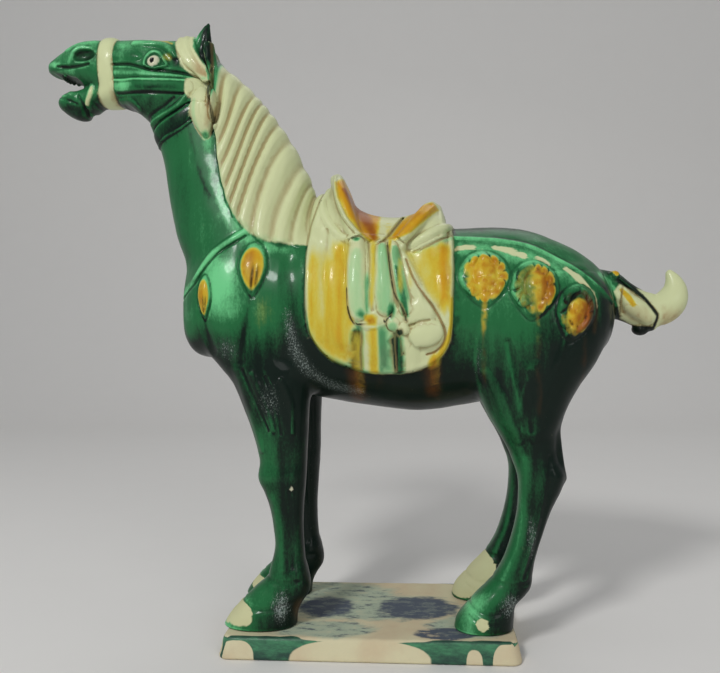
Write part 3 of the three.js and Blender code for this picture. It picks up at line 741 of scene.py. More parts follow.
class Coat:
    """The brushed glazes with their painted shade and light, on the points of a mesh: one amount a point for
    each dose.
    """

    CURVE_STEP = 1.3

    def __init__(self, clay: Clay, points: Array) -> None:
        """Starts with a bare green coat.

        Args:
            clay: The lump under the coat.
            points: The mesh's points.
        """
        self.place = points + LATTICE_SHIFT
        self.x, self.y, self.z = points.T
        self.side = np.abs(self.y)
        self.near = self.y < 0
        slope = clay.slope(points, 0.5)
        self.normal = slope / np.maximum(np.linalg.norm(slope, axis=1, keepdims=True), 1e-9)
        self.doses = {dose: np.zeros(len(points), np.float32) for dose in Dose}
        self.curve = sum(clay.distance(points + s) for shift in np.eye(3) * self.CURVE_STEP
                         for s in (shift, -shift)) / self.CURVE_STEP**2
        stretched = points * (1, 1, 0.45) + LATTICE_SHIFT
        self.sway_x = 1.1 * value_noise(stretched, 9, 11) + 0.5 * value_noise(stretched, 3, 12)
        self.sway_z = 3.0 * value_noise(points * (1, 1, 0.3) + LATTICE_SHIFT, 4, 13)
        self.mottle = value_noise(self.place, 2.4, 14)

    def add(self, dose: Dose, amount: Array) -> None:
        """Lays more of a dose."""
        self.doses[dose] += amount

    def most(self, dose: Dose, amount: Array) -> None:
        """Lays a dose where it is more than what is there."""
        self.doses[dose] = np.maximum(self.doses[dose], amount)

    def slip(self, depth: Array, most: float = SLIP_DEPTH) -> None:
        """Lays cream slip by the depth inside its edge."""
        self.most(Dose.CREAM, np.clip(depth, -SLIP_DEPTH, most))

    def wipe(self, dose: Dose, amount: Array) -> None:
        """Takes a share of a dose away."""
        self.doses[dose] *= 1 - np.clip(amount, 0, 1)

    def spot(self, middle: Point2, half: Point2, soft: float = 0.5, tilt: float = 0.0) -> Array:
        """A round touch of the brush: 1 in the middle and 0 past its edge.

        Args:
            middle: X and Z of the middle.
            half: Half sizes.
            soft: Share of the touch that fades out.
            tilt: Its turn in the side view.

        Returns:
            The amount at each point.
        """
        at = self.x + self.sway_x, self.z + 0.4 * self.sway_z
        return ramp(1.0, 1.0 - soft, Dome(middle, half, 1.0, tilt).reach(*at))

    def stroke(self, *points: Point3, soft: float = 0.6) -> Array:
        """A stroke of the brush through points of X, Z and half width."""
        ridge = Ridge(tuple(points), 1.0)
        low, high = ridge.box
        near = np.flatnonzero(
            (self.x > low[0]) & (self.x < high[0]) & (self.z > low[1]) & (self.z < high[1]))
        amount = np.zeros(len(self.x), np.float32)
        amount[near] = ramp(1.0, 1.0 - soft, ridge.across(self.x[near], self.z[near]))
        return amount

    def strokes(self, dose: Dose, amount: float, soft: float,
                lines: Iterable[Iterable[Point3]]) -> None:
        """Adds one stroke of a dose along each line."""
        for points in lines:
            self.add(dose, amount * self.stroke(*points, soft=soft))

    def inside(self, *corners: Point2) -> Array:
        """How deep each point lies inside an outline of X and Z, in millimetres."""
        return inside_depth(self.x, self.z, np.array(corners))

    def run(self, x: float, half: float, top: float, bottom: float, soft: float = 1.0) -> Array:
        """A run of glaze straight down, thinning at its ends.

        Args:
            x: Where it runs.
            half: Half its width.
            top: Height of its start.
            bottom: Height of its end.
            soft: How soft its sides are, in millimetres.

        Returns:
            The amount at each point.
        """
        across = ramp(half + soft, half - soft, np.abs(self.x + self.sway_x - x))
        z = self.z + self.sway_z
        return across * ramp(bottom - 3, bottom + 7, z) * ramp(top + 3, top - 7, z)


class Part(ABC):
    """A sub-assembly of the casting: it presses its forms and then takes its colours."""

    @abstractmethod
    def press(self, clay: Clay) -> None:
        """Adds the part to the lump."""

    def brush(self, coat: Coat) -> None:
        """Colours the part; plain green by default."""


@dataclass(frozen=True)
class Flesh(Part):
    """Trunk, neck, shoulders, breast and the four legs with their muscles and tendons."""

    trunk: Stack = Stack((
        (-120.5, 204, 216, 8), (-115, 191, 228, 22), (-104, 181, 240, 33), (-88, 172, 250, 40),
        (-62, 160, 258, 45), (-30, 151, 262, 47), (0, 146, 262, 48.5), (30, 142.5, 260, 49),
        (55, 145, 259, 48.5), (80, 150, 259, 48.5), (102, 157, 256, 47), (122, 165, 248, 42),
        (138, 174, 238, 34), (148, 183, 228, 24), (153, 194, 216, 10)))
    neck: Stack = Stack((
        (0, -44, 44, 34), (20, -48, 52, 38), (40, -40, 56.5, 35), (64, -37, 57, 30.5),
        (82, -33, 57, 27), (98, -28.5, 55, 24.5), (112, -24.5, 52.5, 23), (124, -22.5, 49.5, 22),
        (136, -22, 45.5, 21.5), (148, -19, 40, 20), (160, -12, 33, 16), (169, 0, 24, 8)),
        along=Along.NECK, taper=-0.22)
    front_leg: Stack = Stack((
        (10, -93, -45.5, 16.5), (20, -87, -45, 16), (27, -80.5, -42, 14.5), (34, -73.5, -37.5, 13),
        (42, -64.5, -37, 12.3), (51, -61, -39.5, 10.8), (62, -58.5, -40.5, 10),
        (74, -59.5, -40.8, 10), (86, -61.5, -40.3, 10.7), (96, -65, -39.3, 12),
        (104, -68, -38.6, 13), (113, -67.3, -38.2, 12.8), (128, -70.5, -37.5, 14),
        (146, -77, -36.5, 16.2), (162, -84, -35.5, 18.3), (182, -94, -34, 19.5),
        (204, -98, -38, 16), (220, -92, -48, 8)),
        along=Along.Z, power=2.15, lean=((110, 30), (200, 25)))
    hind_leg: Stack = Stack((
        (10, 50.5, 86.5, 16), (20, 53, 87, 15.3), (28, 59.5, 88.5, 13.5), (35, 66, 95, 12),
        (43, 73.5, 98, 11.3), (54, 81, 100, 10.3), (69, 86.5, 104.5, 9.5), (84, 90, 110, 10.3),
        (97, 91, 116.5, 12), (105, 90.5, 118.5, 12.6), (113, 88, 115.5, 12.8),
        (122, 84.5, 113.8, 13.3), (134, 78, 115.5, 15.5), (147, 71, 119.5, 18.2),
        (160, 67, 127, 20.8), (176, 66, 138, 23), (194, 69, 143, 23.5), (212, 77, 142, 20),
        (228, 92, 130, 9)),
        along=Along.Z, power=2.15, lean=((120, 30), (190, 26.5)))
    breast: Blob = Blob((-101, 17, 201), (16, 18, 22), -0.25)
    shoulder: Blob = Blob((-82, 27, 206), (25, 16.5, 38), 0.25)
    forearm: Blob = Blob((-66, 34, 168), (11, 13, 30), 0.12)
    hock_cord: Rod = Rod(((110, 31, 150, 5), (113, 31, 128, 3.5), (116.5, 30, 104, 3)))
    bare_toes: tuple[tuple[Point2, ...], ...] = (
        ((-92, 16), (-75, 16.4), (-70.4, 19.6), (-70.2, 24), (-73.6, 27.4), (-80, 28.6), (-93, 27)),
        ((48, 16.5), (72, 16.5), (79, 24), (81, 34), (77, 42), (68, 46), (54, 40)))
    thigh: Patch = Patch(
        ((69, 214), (65.5, 190), (65, 168), (71, 146), (82, 128), (110, 128), (140, 160),
            (158, 200), (140, 232), (100, 232), (80, 228)), 1.5, slope=9)

    def press(self, clay: Clay) -> None:
        """Builds the body up and carves its muscles."""
        clay.add(self.trunk, self.neck, blend=12)
        clay.add(self.breast, self.shoulder, blend=8)
        clay.add(self.front_leg, self.hind_leg, blend=9)
        clay.add(self.forearm, blend=6)
        clay.add(self.hock_cord, blend=3)
        clay.emboss(
            self.thigh,
            Ridge(((-101, 212, 4), (-98, 197, 5), (-94, 183, 4)), -1.1),
            Ridge(((-80, 214, 4), (-76, 196, 5), (-75, 177, 4)), -1.0),
            Ridge(((-45, 235, 7), (-42, 205, 11), (-48, 178, 8)), -1.2),
            Ridge(((-79, 171, 4.5), (-71, 150, 4.2), (-64, 122, 2.6)), 0.8),
            Ridge(((-74, 171, 1.6), (-66, 153, 2), (-59, 134, 1.2)), -0.8),
            Ridge(((-68, 169, 2.8), (-60.5, 151, 2.8), (-56, 134, 1.4)), 0.9),
            Ridge(((-60, 167, 1.4), (-54, 151, 1.8), (-51.5, 132, 1.2)), -0.7),
            Ridge(((-51, 165, 2.2), (-45.5, 151, 2.6), (-44.5, 132, 1.4)), 0.9),
            Dome((-62, 106), (9, 11), 0.9), Dome((-45, 105), (6, 9), 0.7),
            Ridge(((-47.5, 97, 1.8), (-47.5, 74, 2.4), (-46, 50, 1.8)), -0.6),
            Ridge(((-57, 92, 3), (-53.5, 72, 3.4), (-52, 50, 3)), 0.5),
            Ridge(((-66, 45, 2), (-54, 41, 2.8), (-43, 42, 2)), -0.5),
            Dome((-42.5, 48), (6, 6), 1.0), Dome((-67, 35), (7, 5), 0.7, 0.5),
            Dome((-55, 32), (8, 4.5), 0.7, -0.2), Dome((-78, 27), (6, 4), 0.5, 0.7),
            Ridge(((-84, 31, 1.6), (-70, 26, 2.2), (-56, 26.5, 2.2), (-46, 30, 1.6)), -0.55),
            Ridge(((71, 168, 4), (82, 148, 5), (90, 128, 3.4)), 1.0),
            Ridge(((84, 186, 3), (92, 160, 4), (97, 134, 2.4)), -0.8),
            Ridge(((117, 190, 1.2), (112, 172, 3.6), (103, 150, 4.4), (99, 128, 2.6)), 0.6),
            Dome((98, 106), (9, 12), 0.7), Dome((114, 106), (5, 8), 0.9),
            Ridge(((108, 118, 2), (107, 96, 2.6), (100, 66, 2.2), (92.5, 46, 1.8)), -0.7),
            Ridge(((93.5, 116, 2.6), (93, 96, 3), (89.5, 70, 3.2), (80, 46, 3)), 0.8),
            Ridge(((71, 45, 2), (84, 41, 2.8), (95, 43, 2)), -0.45),
            Dome((96, 40), (5, 6), 0.8), Dome((70, 33), (8, 4.5), 0.7, 0.4),
            Ridge(((57, 31, 1.6), (70, 25, 2.2), (84, 27.5, 2.2)), -0.55),
            Ridge(((60, 24, 1.2), (66, 20.5, 1.5), (77, 19.5, 1.2)), -0.3))
        clay.cut(Below(SOLE), blend=0.8)

    def _across(self, leg: Stack, coat: Coat) -> Array:
        """Where each point lies across a leg: 0 at its front line and 1 at its back line."""
        table = leg.table
        front, back = (np.interp(coat.z, table[:, 0], table[:, k]) for k in (1, 2))
        return np.clip((coat.x - front) / (back - front), -0.5, 1.5)

    def brush(self, coat: Coat) -> None:
        """Thin pale glaze on the high places; darker below from thick glaze and painted shade together, with
        painted shade on the undersides; bare toes.
        """
        x, z = coat.x, coat.z
        # down: painted shade where the skin faces downwards
        down = ramp(0.05, -0.8, coat.normal[:, 2])
        low = 0.35 + 0.65 * ramp(120, 165, z)
        # darker towards the belly from thick glaze with painted shade laid over it, and painted shade on the
        # undersides
        coat.add(Dose.LIGHT, 0.02 - 0.95 * low * ramp(214, 178, z) * ramp(30, -30, x)
                 - 0.8 * low * ramp(204, 158, z) * ramp(-30, 30, x) - 0.6 * down
                 - 0.3 * coat.spot((92, 192), (46, 40), 0.9))
        self._legs(coat)
        coat.add(Dose.LIGHT, -0.95 * ramp(92, 134, x) * ramp(242, 202, z)
                 - 0.8 * ramp(250, 258, z) * ramp(50, 60, x)
                 - 0.5 * coat.spot((-42, 205), (12, 40), 0.9))
        self._chest(coat)
        grey = greatest([
            0.9 * coat.spot((-53, 27), (9, 19), 0.9), 0.8 * coat.spot((84, 30), (12, 14), 0.9),
            0.7 * coat.stroke((-46, 206, 6), (-42, 182, 9), (-28, 164, 9), (-4, 156, 7), soft=0.95),
            0.7 * coat.spot((97, 70), (6, 26), 0.9), 0.6 * coat.spot((-84, 184), (14, 14), 0.9),
            0.6 * coat.spot((-58, 152), (12, 22), 0.9), 0.5 * coat.spot((68, 176), (5, 22), 0.9),
            0.5 * coat.spot((-66, 56), (6, 22), 0.9), 0.22 * (coat.y > 5) * ramp(150, 130, z)])
        coat.most(Dose.GREY, grey)
        coat.most(Dose.RUST, 0.6 * coat.spot((-43, 24), (8, 14), 0.9) * coat.near)
        coat.most(Dose.BARE, self._toes(coat))
        coat.most(Dose.WHITE, coat.near * Dome((-46, 98.5), (1.1, 1.9), 1.0).height(x, z) * 1.2)

    def _legs(self, coat: Coat) -> None:
        """Green down the front of each leg, near black behind and inside from painted shade, with pale
        ridges.
        """
        x, z = coat.x, coat.z
        foreleg, hindleg = ramp(-20, -34, x) * ramp(190, 168, z), ramp(50, 62, x) * ramp(176, 150, z)
        front, hind = self._across(self.front_leg, coat), self._across(self.hind_leg, coat)
        # inner: painted shade on the leg faces that turn in towards the middle
        inner = ramp(0.15, -0.5, coat.normal[:, 1] * np.sign(coat.y)) * ramp(170, 150, z)
        # the back of each leg is darkened as painted shade
        coat.add(Dose.LIGHT, foreleg * (0.1 * ramp(0.5, 0.0, front) - 0.1 * ramp(180, 100, z)
                                        - 0.8 * ramp(0.15, 1.1, front)))
        coat.add(Dose.LIGHT, hindleg * (0.15 * ramp(0.5, 0.1, hind) - 0.1 * ramp(160, 100, z)
                                        - 0.8 * ramp(0.15, 1.0, hind)) - 0.75 * inner)
        dark = (((100, 122, 3), (98, 98, 3.4), (95, 70, 3), (87, 46, 2.4)),
                ((-52, 128, 3), (-51, 100, 3), (-50, 70, 3), (-50, 48, 3)),
                ((-62, 92, 1.6), (-59, 72, 1.8), (-59, 52, 1.6)),
                ((78, 170, 2.6), (88, 140, 2.6), (95, 120, 2)))
        coat.strokes(Dose.LIGHT, -0.35, 0.95, dark)
        ridges = (((-73, 170, 1.4), (-65, 152, 1.5), (-58, 134, 1.2)),
                  ((-60, 169, 1.4), (-54.5, 156, 1.5), (-52, 138, 1.2)),
                  ((-47, 165, 1.4), (-44, 152, 1.5), (-45.5, 132, 1.2)),
                  ((83, 186, 1.6), (86, 168, 1.6), (90, 148, 1.2)),
                  ((97, 174, 1.4), (91, 150, 1.4), (92, 134, 1.2)),
                  ((67, 196, 1.2), (65.6, 172, 1.5), (71, 148, 1.6), (80, 130, 1.4)),
                  ((88, 118, 2), (92, 96, 2), (89, 66, 2), (79, 42, 2)))
        coat.strokes(Dose.LIGHT, 0.4, 0.9, ridges)
        hooves = ramp(44, 26, z)
        coat.add(Dose.LIGHT, hooves * (0.7 * foreleg * ramp(0.7, 0.2, front)
                                       + 1.0 * hindleg * ramp(0.6, 0.15, hind)))

    def _chest(self, coat: Coat) -> None:
        """Mint over the breast and along the mane, partly thin glaze and partly painted light; olive on the
        shoulder and flank.
        """
        # the mint band along the mane (the second stroke) is partly painted light
        coat.add(Dose.LIGHT, -0.28 * coat.stroke((-124, 318, 12), (-120, 280, 14), (-112, 246, 12),
                                                 soft=0.9)
                 + 0.6 * coat.stroke((-101, 326, 4), (-97, 296, 6), (-86, 270, 9), (-68, 250, 9),
                                     (-50, 244, 5), soft=0.9)
                 - 0.7 * coat.stroke((-112, 323.5, 1.8), (-104, 294, 2.2), (-91, 268.6, 2), soft=0.9))
        # mint on the breast, partly thin glaze and partly painted light
        coat.add(Dose.LIGHT, 1.0 * coat.spot((-88, 230), (17, 22), 0.95)
                 + 0.8 * coat.spot((-86, 212), (20, 28), 0.95)
                 + 0.35 * coat.spot((-60, 202), (14, 22), 0.95)
                 + 0.5 * coat.spot((-110, 200), (9, 18), 0.9)
                 - 0.25 * coat.spot((-50, 226), (12, 22), 0.9)
                 - 0.6 * coat.stroke((-69, 216, 2.2), (-72, 200, 2.6), (-75, 182, 2.4), soft=0.9)
                 - 0.6 * coat.stroke((-99, 204, 1.8), (-97, 192, 2), (-94, 178, 2), soft=0.9)
                 + 0.3 * coat.spot((84, 208), (22, 26), 0.9, 0.2))
        coat.most(Dose.AMBER, 0.24 * coat.spot((-61, 207), (13, 22), 0.9))

    def _toes(self, coat: Coat) -> Array:
        """Bare patches on the toes: a large and a small one in front, others behind."""
        toe, far_toe = (
            coat.inside(*fair(np.array(corners), 5, closed=True)) for corners in self.bare_toes)
        high_toe = coat.spot((-80, 21), (9, 6), 0.3, -0.3)
        dot = coat.spot((67, 20), (4.4, 3.8), 0.3)
        heel = coat.stroke((57, 33, 1.6), (53.5, 26, 1.8), (51, 18, 1.6))
        near = greatest([ramp(-0.6, 0.9, toe), dot, heel])
        far = np.maximum(ramp(-0.6, 0.9, far_toe), high_toe)
        return np.where(coat.near, near, far)


@dataclass(frozen=True)
class Head(Part):
    """Skull, open mouth, flared nostrils, staring eyes and pricked ears."""

    skull: Stack = Stack((
        (-214.5, 371.5, 376.5, 3), (-211, 368.5, 379, 8), (-206, 365.5, 381.5, 12),
        (-199, 362.5, 385.5, 15), (-190, 360, 389.5, 16.5), (-180, 356, 391, 16.5),
        (-170, 351, 390.5, 17), (-158, 345, 390, 19), (-146, 340, 389.5, 21.5),
        (-134, 337, 388, 22.5), (-122, 338, 387.5, 22), (-111, 345, 385, 19),
        (-101, 354, 379, 12)), power=2.3)
    jaw: Stack = Stack((
        (-206, 346.5, 352, 4), (-203.5, 343.5, 355.5, 9), (-198.5, 341.5, 357.5, 11.5),
        (-192, 340.5, 358.5, 12), (-184, 344, 361, 12), (-172, 348.5, 364, 13),
        (-158, 344.5, 366, 16.5), (-146, 337, 364, 18), (-137, 334, 358, 13)), power=2.2)
    jowl: Blob = Blob((-136, 12, 355), (21, 13.5, 20))
    nostril: tuple[Point2, ...] = ((-190.4, 378.6), (-186.4, 380.6), (-178.6, 379.8),
                                   (-175, 376.4), (-178, 373.8), (-184.4, 373.8), (-191, 373.4),
                                   (-188.8, 376))
    eye: Point2 = (-135.4, 369.4)
    ear_far_lead: float = 5.5

    def press(self, clay: Clay) -> None:
        """Builds the head up and carves it."""
        clay.add(self.skull, blend=8)
        clay.add(self.jaw, blend=2.5)
        clay.add(self.jowl, blend=4)
        clay.add(Rod(((-211, 2, 374.5, 3), (-209, 7.5, 373, 2.8), (-203, 11.5, 371.5, 2.2))), blend=3)
        clay.add(Rod(((-205, 0, 349.5, 3.4), (-203.2, 6, 350.5, 3.2), (-196, 10, 353, 2.4))), blend=2.5)
        clay.add(Blob((-193.4, 0, 343), (6.6, 7.6, 3.6), -0.2), blend=3.5)
        clay.cut(Slot(((-228, 369.4), (-209, 369.4), (-204.5, 368), (-198, 366.4), (-192, 364.6),
                       (-188.8, 361.4), (-191.6, 358.2), (-200, 356.6), (-228, 354))), blend=1.4)
        clay.emboss(Ridge(((-203.5, 371.6, 1.0), (-196, 370.4, 1.5), (-188, 370.4, 1.4),
                           (-181, 371.4, 1.0)), -1.0))
        clay.add(*(Blob((-203.4 + 0.42 * k * k, 2.8 * k + 1.4, 367.2), (1.4, 1.3, 1.6))
                   for k in range(4)), blend=0.5)
        self._face(clay)
        self._ears(clay)

    def _face(self, clay: Clay) -> None:
        """Carves the nostril, the eye and the lines of the cheek."""
        ex, ez = self.eye
        clay.emboss(Dome((-184.4, 377), (8, 4.2), -3.0, 0.12, fall=0.8))
        clay.add(Rod(((-194, 14.4, 371.6, 0.8), (-192.2, 15.8, 376, 1.1), (-190.2, 15.8, 380.4, 1.2),
                      (-186, 15.4, 382.6, 1.0), (-180, 15.4, 381.6, 0.8))), blend=2.2)
        clay.emboss(
            Dome((ex, ez + 1), (15, 12), -1.3, fall=1.2),
            Ridge(((-150, 384, 3), (-142, 383.5, 3.6), (-134, 382.6, 3.8), (-127, 378.6, 3.2),
                   (-121, 371.5, 2.4)), 1.6),
            Dome((ex + 0.3, ez - 0.2), (4.9, 4.8), 2.4, fall=0.8),
            Ridge(((ex - 5.4, ez - 3, 1.4), (ex - 5.2, ez + 2.2, 1.9), (ex - 2, ez + 6.2, 2.0),
                   (ex + 2.4, ez + 5.8, 2.0), (ex + 6, ez + 1.6, 1.8), (ex + 9, ez - 3.6, 1.3),
                   (ex + 4.4, ez - 5.0, 1.2), (ex, ez - 5.6, 1.3)), 1.4, closed=True),
            Dome((ex - 0.4, ez), (1.6, 2.0), -0.9, fall=0.8),
            Dome((-125, 369.5), (6, 6), -0.8),
            Ridge(((-164, 369.8, 1.3), (-151.5, 368.2, 1.7), (-137, 363.2, 1.7), (-127, 361.8, 1.8),
                   (-115.2, 360.4, 1.7), (-103.5, 357.6, 1.2)), -1.4),
            Ridge(((-162, 363.6, 3.4), (-147, 361.5, 3.2), (-131, 358.9, 2.2), (-117, 358.2, 1.4)), 1.1),
            Ridge(((-163, 376, 4), (-152, 374.5, 5), (-146, 373, 3)), 1.1),
            Ridge(((-190, 352, 1.6), (-187.5, 346, 2), (-188, 341, 1.4)), -1.1),
            Ridge(((-181.5, 358, 2.6), (-182.5, 352, 2.8), (-185, 346, 2.2)), 0.9),
            Ridge(((-179.5, 347, 2), (-176.5, 343, 2)), -0.7),
            Ridge(((-204, 352.6, 1.2), (-197, 349.6, 1.6), (-191, 347, 1)), -0.6),
            Ridge(((-160, 345.2, 1.4), (-152, 340, 1.9), (-145, 331, 1.5)), -1.0),
            Ridge(((-162, 347.8, 1.6), (-152, 345, 2.2), (-146, 339.5, 1.6)), 0.8),
            Ridge(((-141, 331, 1.8), (-126, 336.4, 2.4), (-118.5, 341, 2.6), (-113.8, 347, 1.8)), 1.2),
            Ridge(((-144, 334, 1.4), (-130, 339.5, 1.8), (-122, 345, 1.4)), -0.6),
            Ridge(((-197, 382.6, 3), (-190, 386.2, 3.6), (-180, 387.6, 3)), 0.7))

    def _ears(self, clay: Clay) -> None:
        """Adds the leaf-shaped ears with their hollows, the far one set further forward."""
        lead = self.ear_far_lead
        clay.add(Rod(((-104.4, 10.5, 361, 5.0), (-105, 11.5, 370, 6.6), (-105.2, 12.2, 378, 6.4),
                      (-104.2, 12.4, 385, 4.5), (-102.8, 12, 391, 2.3), (-101.8, 11.6, 394.6, 0.9)),
                     flat=0.75, far_lead=lead, steps=5), blend=1.2)
        clay.cut(Rod(((-106.2, 19.6, 372, 2.0), (-106.2, 19.2, 378, 3.8), (-104.8, 18, 384.5, 3.0),
                      (-102.9, 15.2, 390.5, 1.0)), far_lead=lead), blend=1.2)
        clay.add(Rod(((-110.4, 13.2, 370, 1.2), (-110.8, 13.6, 378, 1.3), (-108.2, 13.4, 385.4, 1.2),
                      (-103.4, 12.4, 392.6, 0.9)), far_lead=lead), blend=1.2)

    def brush(self, coat: Coat) -> None:
        """White eyes with black pupils, pale lips and dark hollows; painted shade on the lower face, in the
        nostril and in the open mouth, and painted light on the top of the face.
        """
        ex, ez = self.eye
        x, z = coat.x, coat.z
        face = ramp(-100, -108, x) * ramp(330, 340, z)
        # painted light on the top of the face and painted shade on its lower part
        coat.add(Dose.LIGHT, 0.12 * face - 0.4 * face * ramp(356, 344, z)
                 + 0.3 * face * ramp(376, 386, z))
        white = Dome((ex + 0.3, ez - 0.3), (4.4, 4.1), 1.0).reach(x, z)
        coat.most(Dose.WHITE, ramp(1.1, 0.8, white) * face * (0.9 - 0.3 * ramp(ex + 1, ex + 4, x)))
        pupil = Dome((ex - 0.4, ez), (1.6, 2.1), 1.0).reach(x, z)
        coat.most(Dose.BLACK, ramp(1.15, 0.8, pupil) * face)
        pale = (((ex - 6.2, ez - 2, 2), (ex - 6, ez + 2.2, 2.2), (ex - 2.2, ez + 6.2, 2.4),
                 (ex + 2.8, ez + 5.8, 2.2)),
                ((-162, 363.6, 3.2), (-147, 361.5, 3), (-131, 358.9, 2), (-116, 358.2, 1.6)),
                ((-194.5, 374, 2.4), (-192, 378, 2.8), (-188.5, 382.5, 2.4)),
                ((-141, 331, 2), (-126, 336.4, 2.8), (-118.5, 341, 3), (-114, 347, 3)),
                ((-162, 355, 5), (-154, 354.6, 5)), ((-200, 352, 5), (-194, 353, 4)),
                ((-204, 381, 3), (-190, 386, 4), (-178, 387, 3)), ((-160, 383, 5), (-148, 383, 5)))
        coat.strokes(Dose.LIGHT, 0.3, 0.95, pale)
        coat.add(Dose.LIGHT, 0.7 * coat.spot((-207, 373), (5, 3), 0.8)
                 - 0.9 * coat.spot((-119.5, 368.5), (8, 9), 0.8)
                 - 0.5 * coat.spot((-140, 350), (14, 4), 0.9, 0.1)
                 - 0.5 * coat.spot((-196, 370), (9, 3), 0.8)
                 - 0.5 * coat.spot((-150, 374), (7, 4), 0.9))
        coat.most(Dose.AMBER, 0.36 * coat.spot((ex + 9, ez + 2.5), (5, 6), 0.9)
                  + 0.5 * coat.stroke((-138, 385.6, 1.6), (-131, 385, 1.8), (-125, 382, 1.4)))
        coat.most(Dose.LINE, 0.6 * coat.stroke(
            (-164, 369.8, 1.6), (-151.5, 368.4, 1.7), (-137, 363.2, 2), (-127, 361.8, 2.2),
            (-115.2, 360.4, 2), (-103.5, 357.6, 1.4), soft=0.9))
        coat.most(Dose.LINE, 0.4 * ramp(1.5, 1.15, white) * ramp(0.95, 1.1, white) * face)
        # painted shade filling the nostril hollow
        coat.most(Dose.LINE, 0.85 * ramp(-2.6, 1.4, coat.inside(*self.nostril))
                  * (0.75 + 0.25 * coat.mottle))
        coat.most(Dose.LINE, 0.6 * coat.stroke((-203.5, 371.4, 1.2), (-196, 370.2, 1.6),
                                               (-188, 370.2, 1.8), (-181, 371.2, 1.4)))
        coat.most(Dose.LINE, 0.7 * coat.stroke((-176.5, 350, 3), (-178, 343, 4), (-186, 338, 4.5),
                                               (-193, 339, 2.5), soft=0.9))
        gum = ramp(369.4, 368.4, z) * ramp(363.4, 365, z) * ramp(-208, -207, x) * ramp(-188, -194, x)
        coat.add(Dose.LIGHT, 0.7 * gum * ramp(9, 12, coat.side))
        slip = coat.stroke((-181.2, 357.5, 3), (-182.1, 352.2, 3.6), (-184.8, 347, 3), soft=0.95)
        coat.add(Dose.LIGHT, 0.9 * slip)
        coat.most(Dose.CREAM, 2.4 * slip - 1.4)
        coat.most(Dose.RUST, 0.35 * slip)
        # painted shade inside the open mouth and over the palate
        mouth = ramp(355, 358, z) * ramp(366.6, 365, z) * ramp(-187, -189, x) * ramp(10.5, 8.5, coat.side)
        coat.most(Dose.LINE, 0.75 * np.maximum(mouth, gum * ramp(11, 8.5, coat.side)))
        ear = ramp(-112.5, -111, x) * ramp(366, 370, z) * ramp(-97, -99, x) * (coat.side > 7)
        coat.add(Dose.LIGHT, ear * (0.1 - 1.3 * ramp(-109, -104.5, x)))


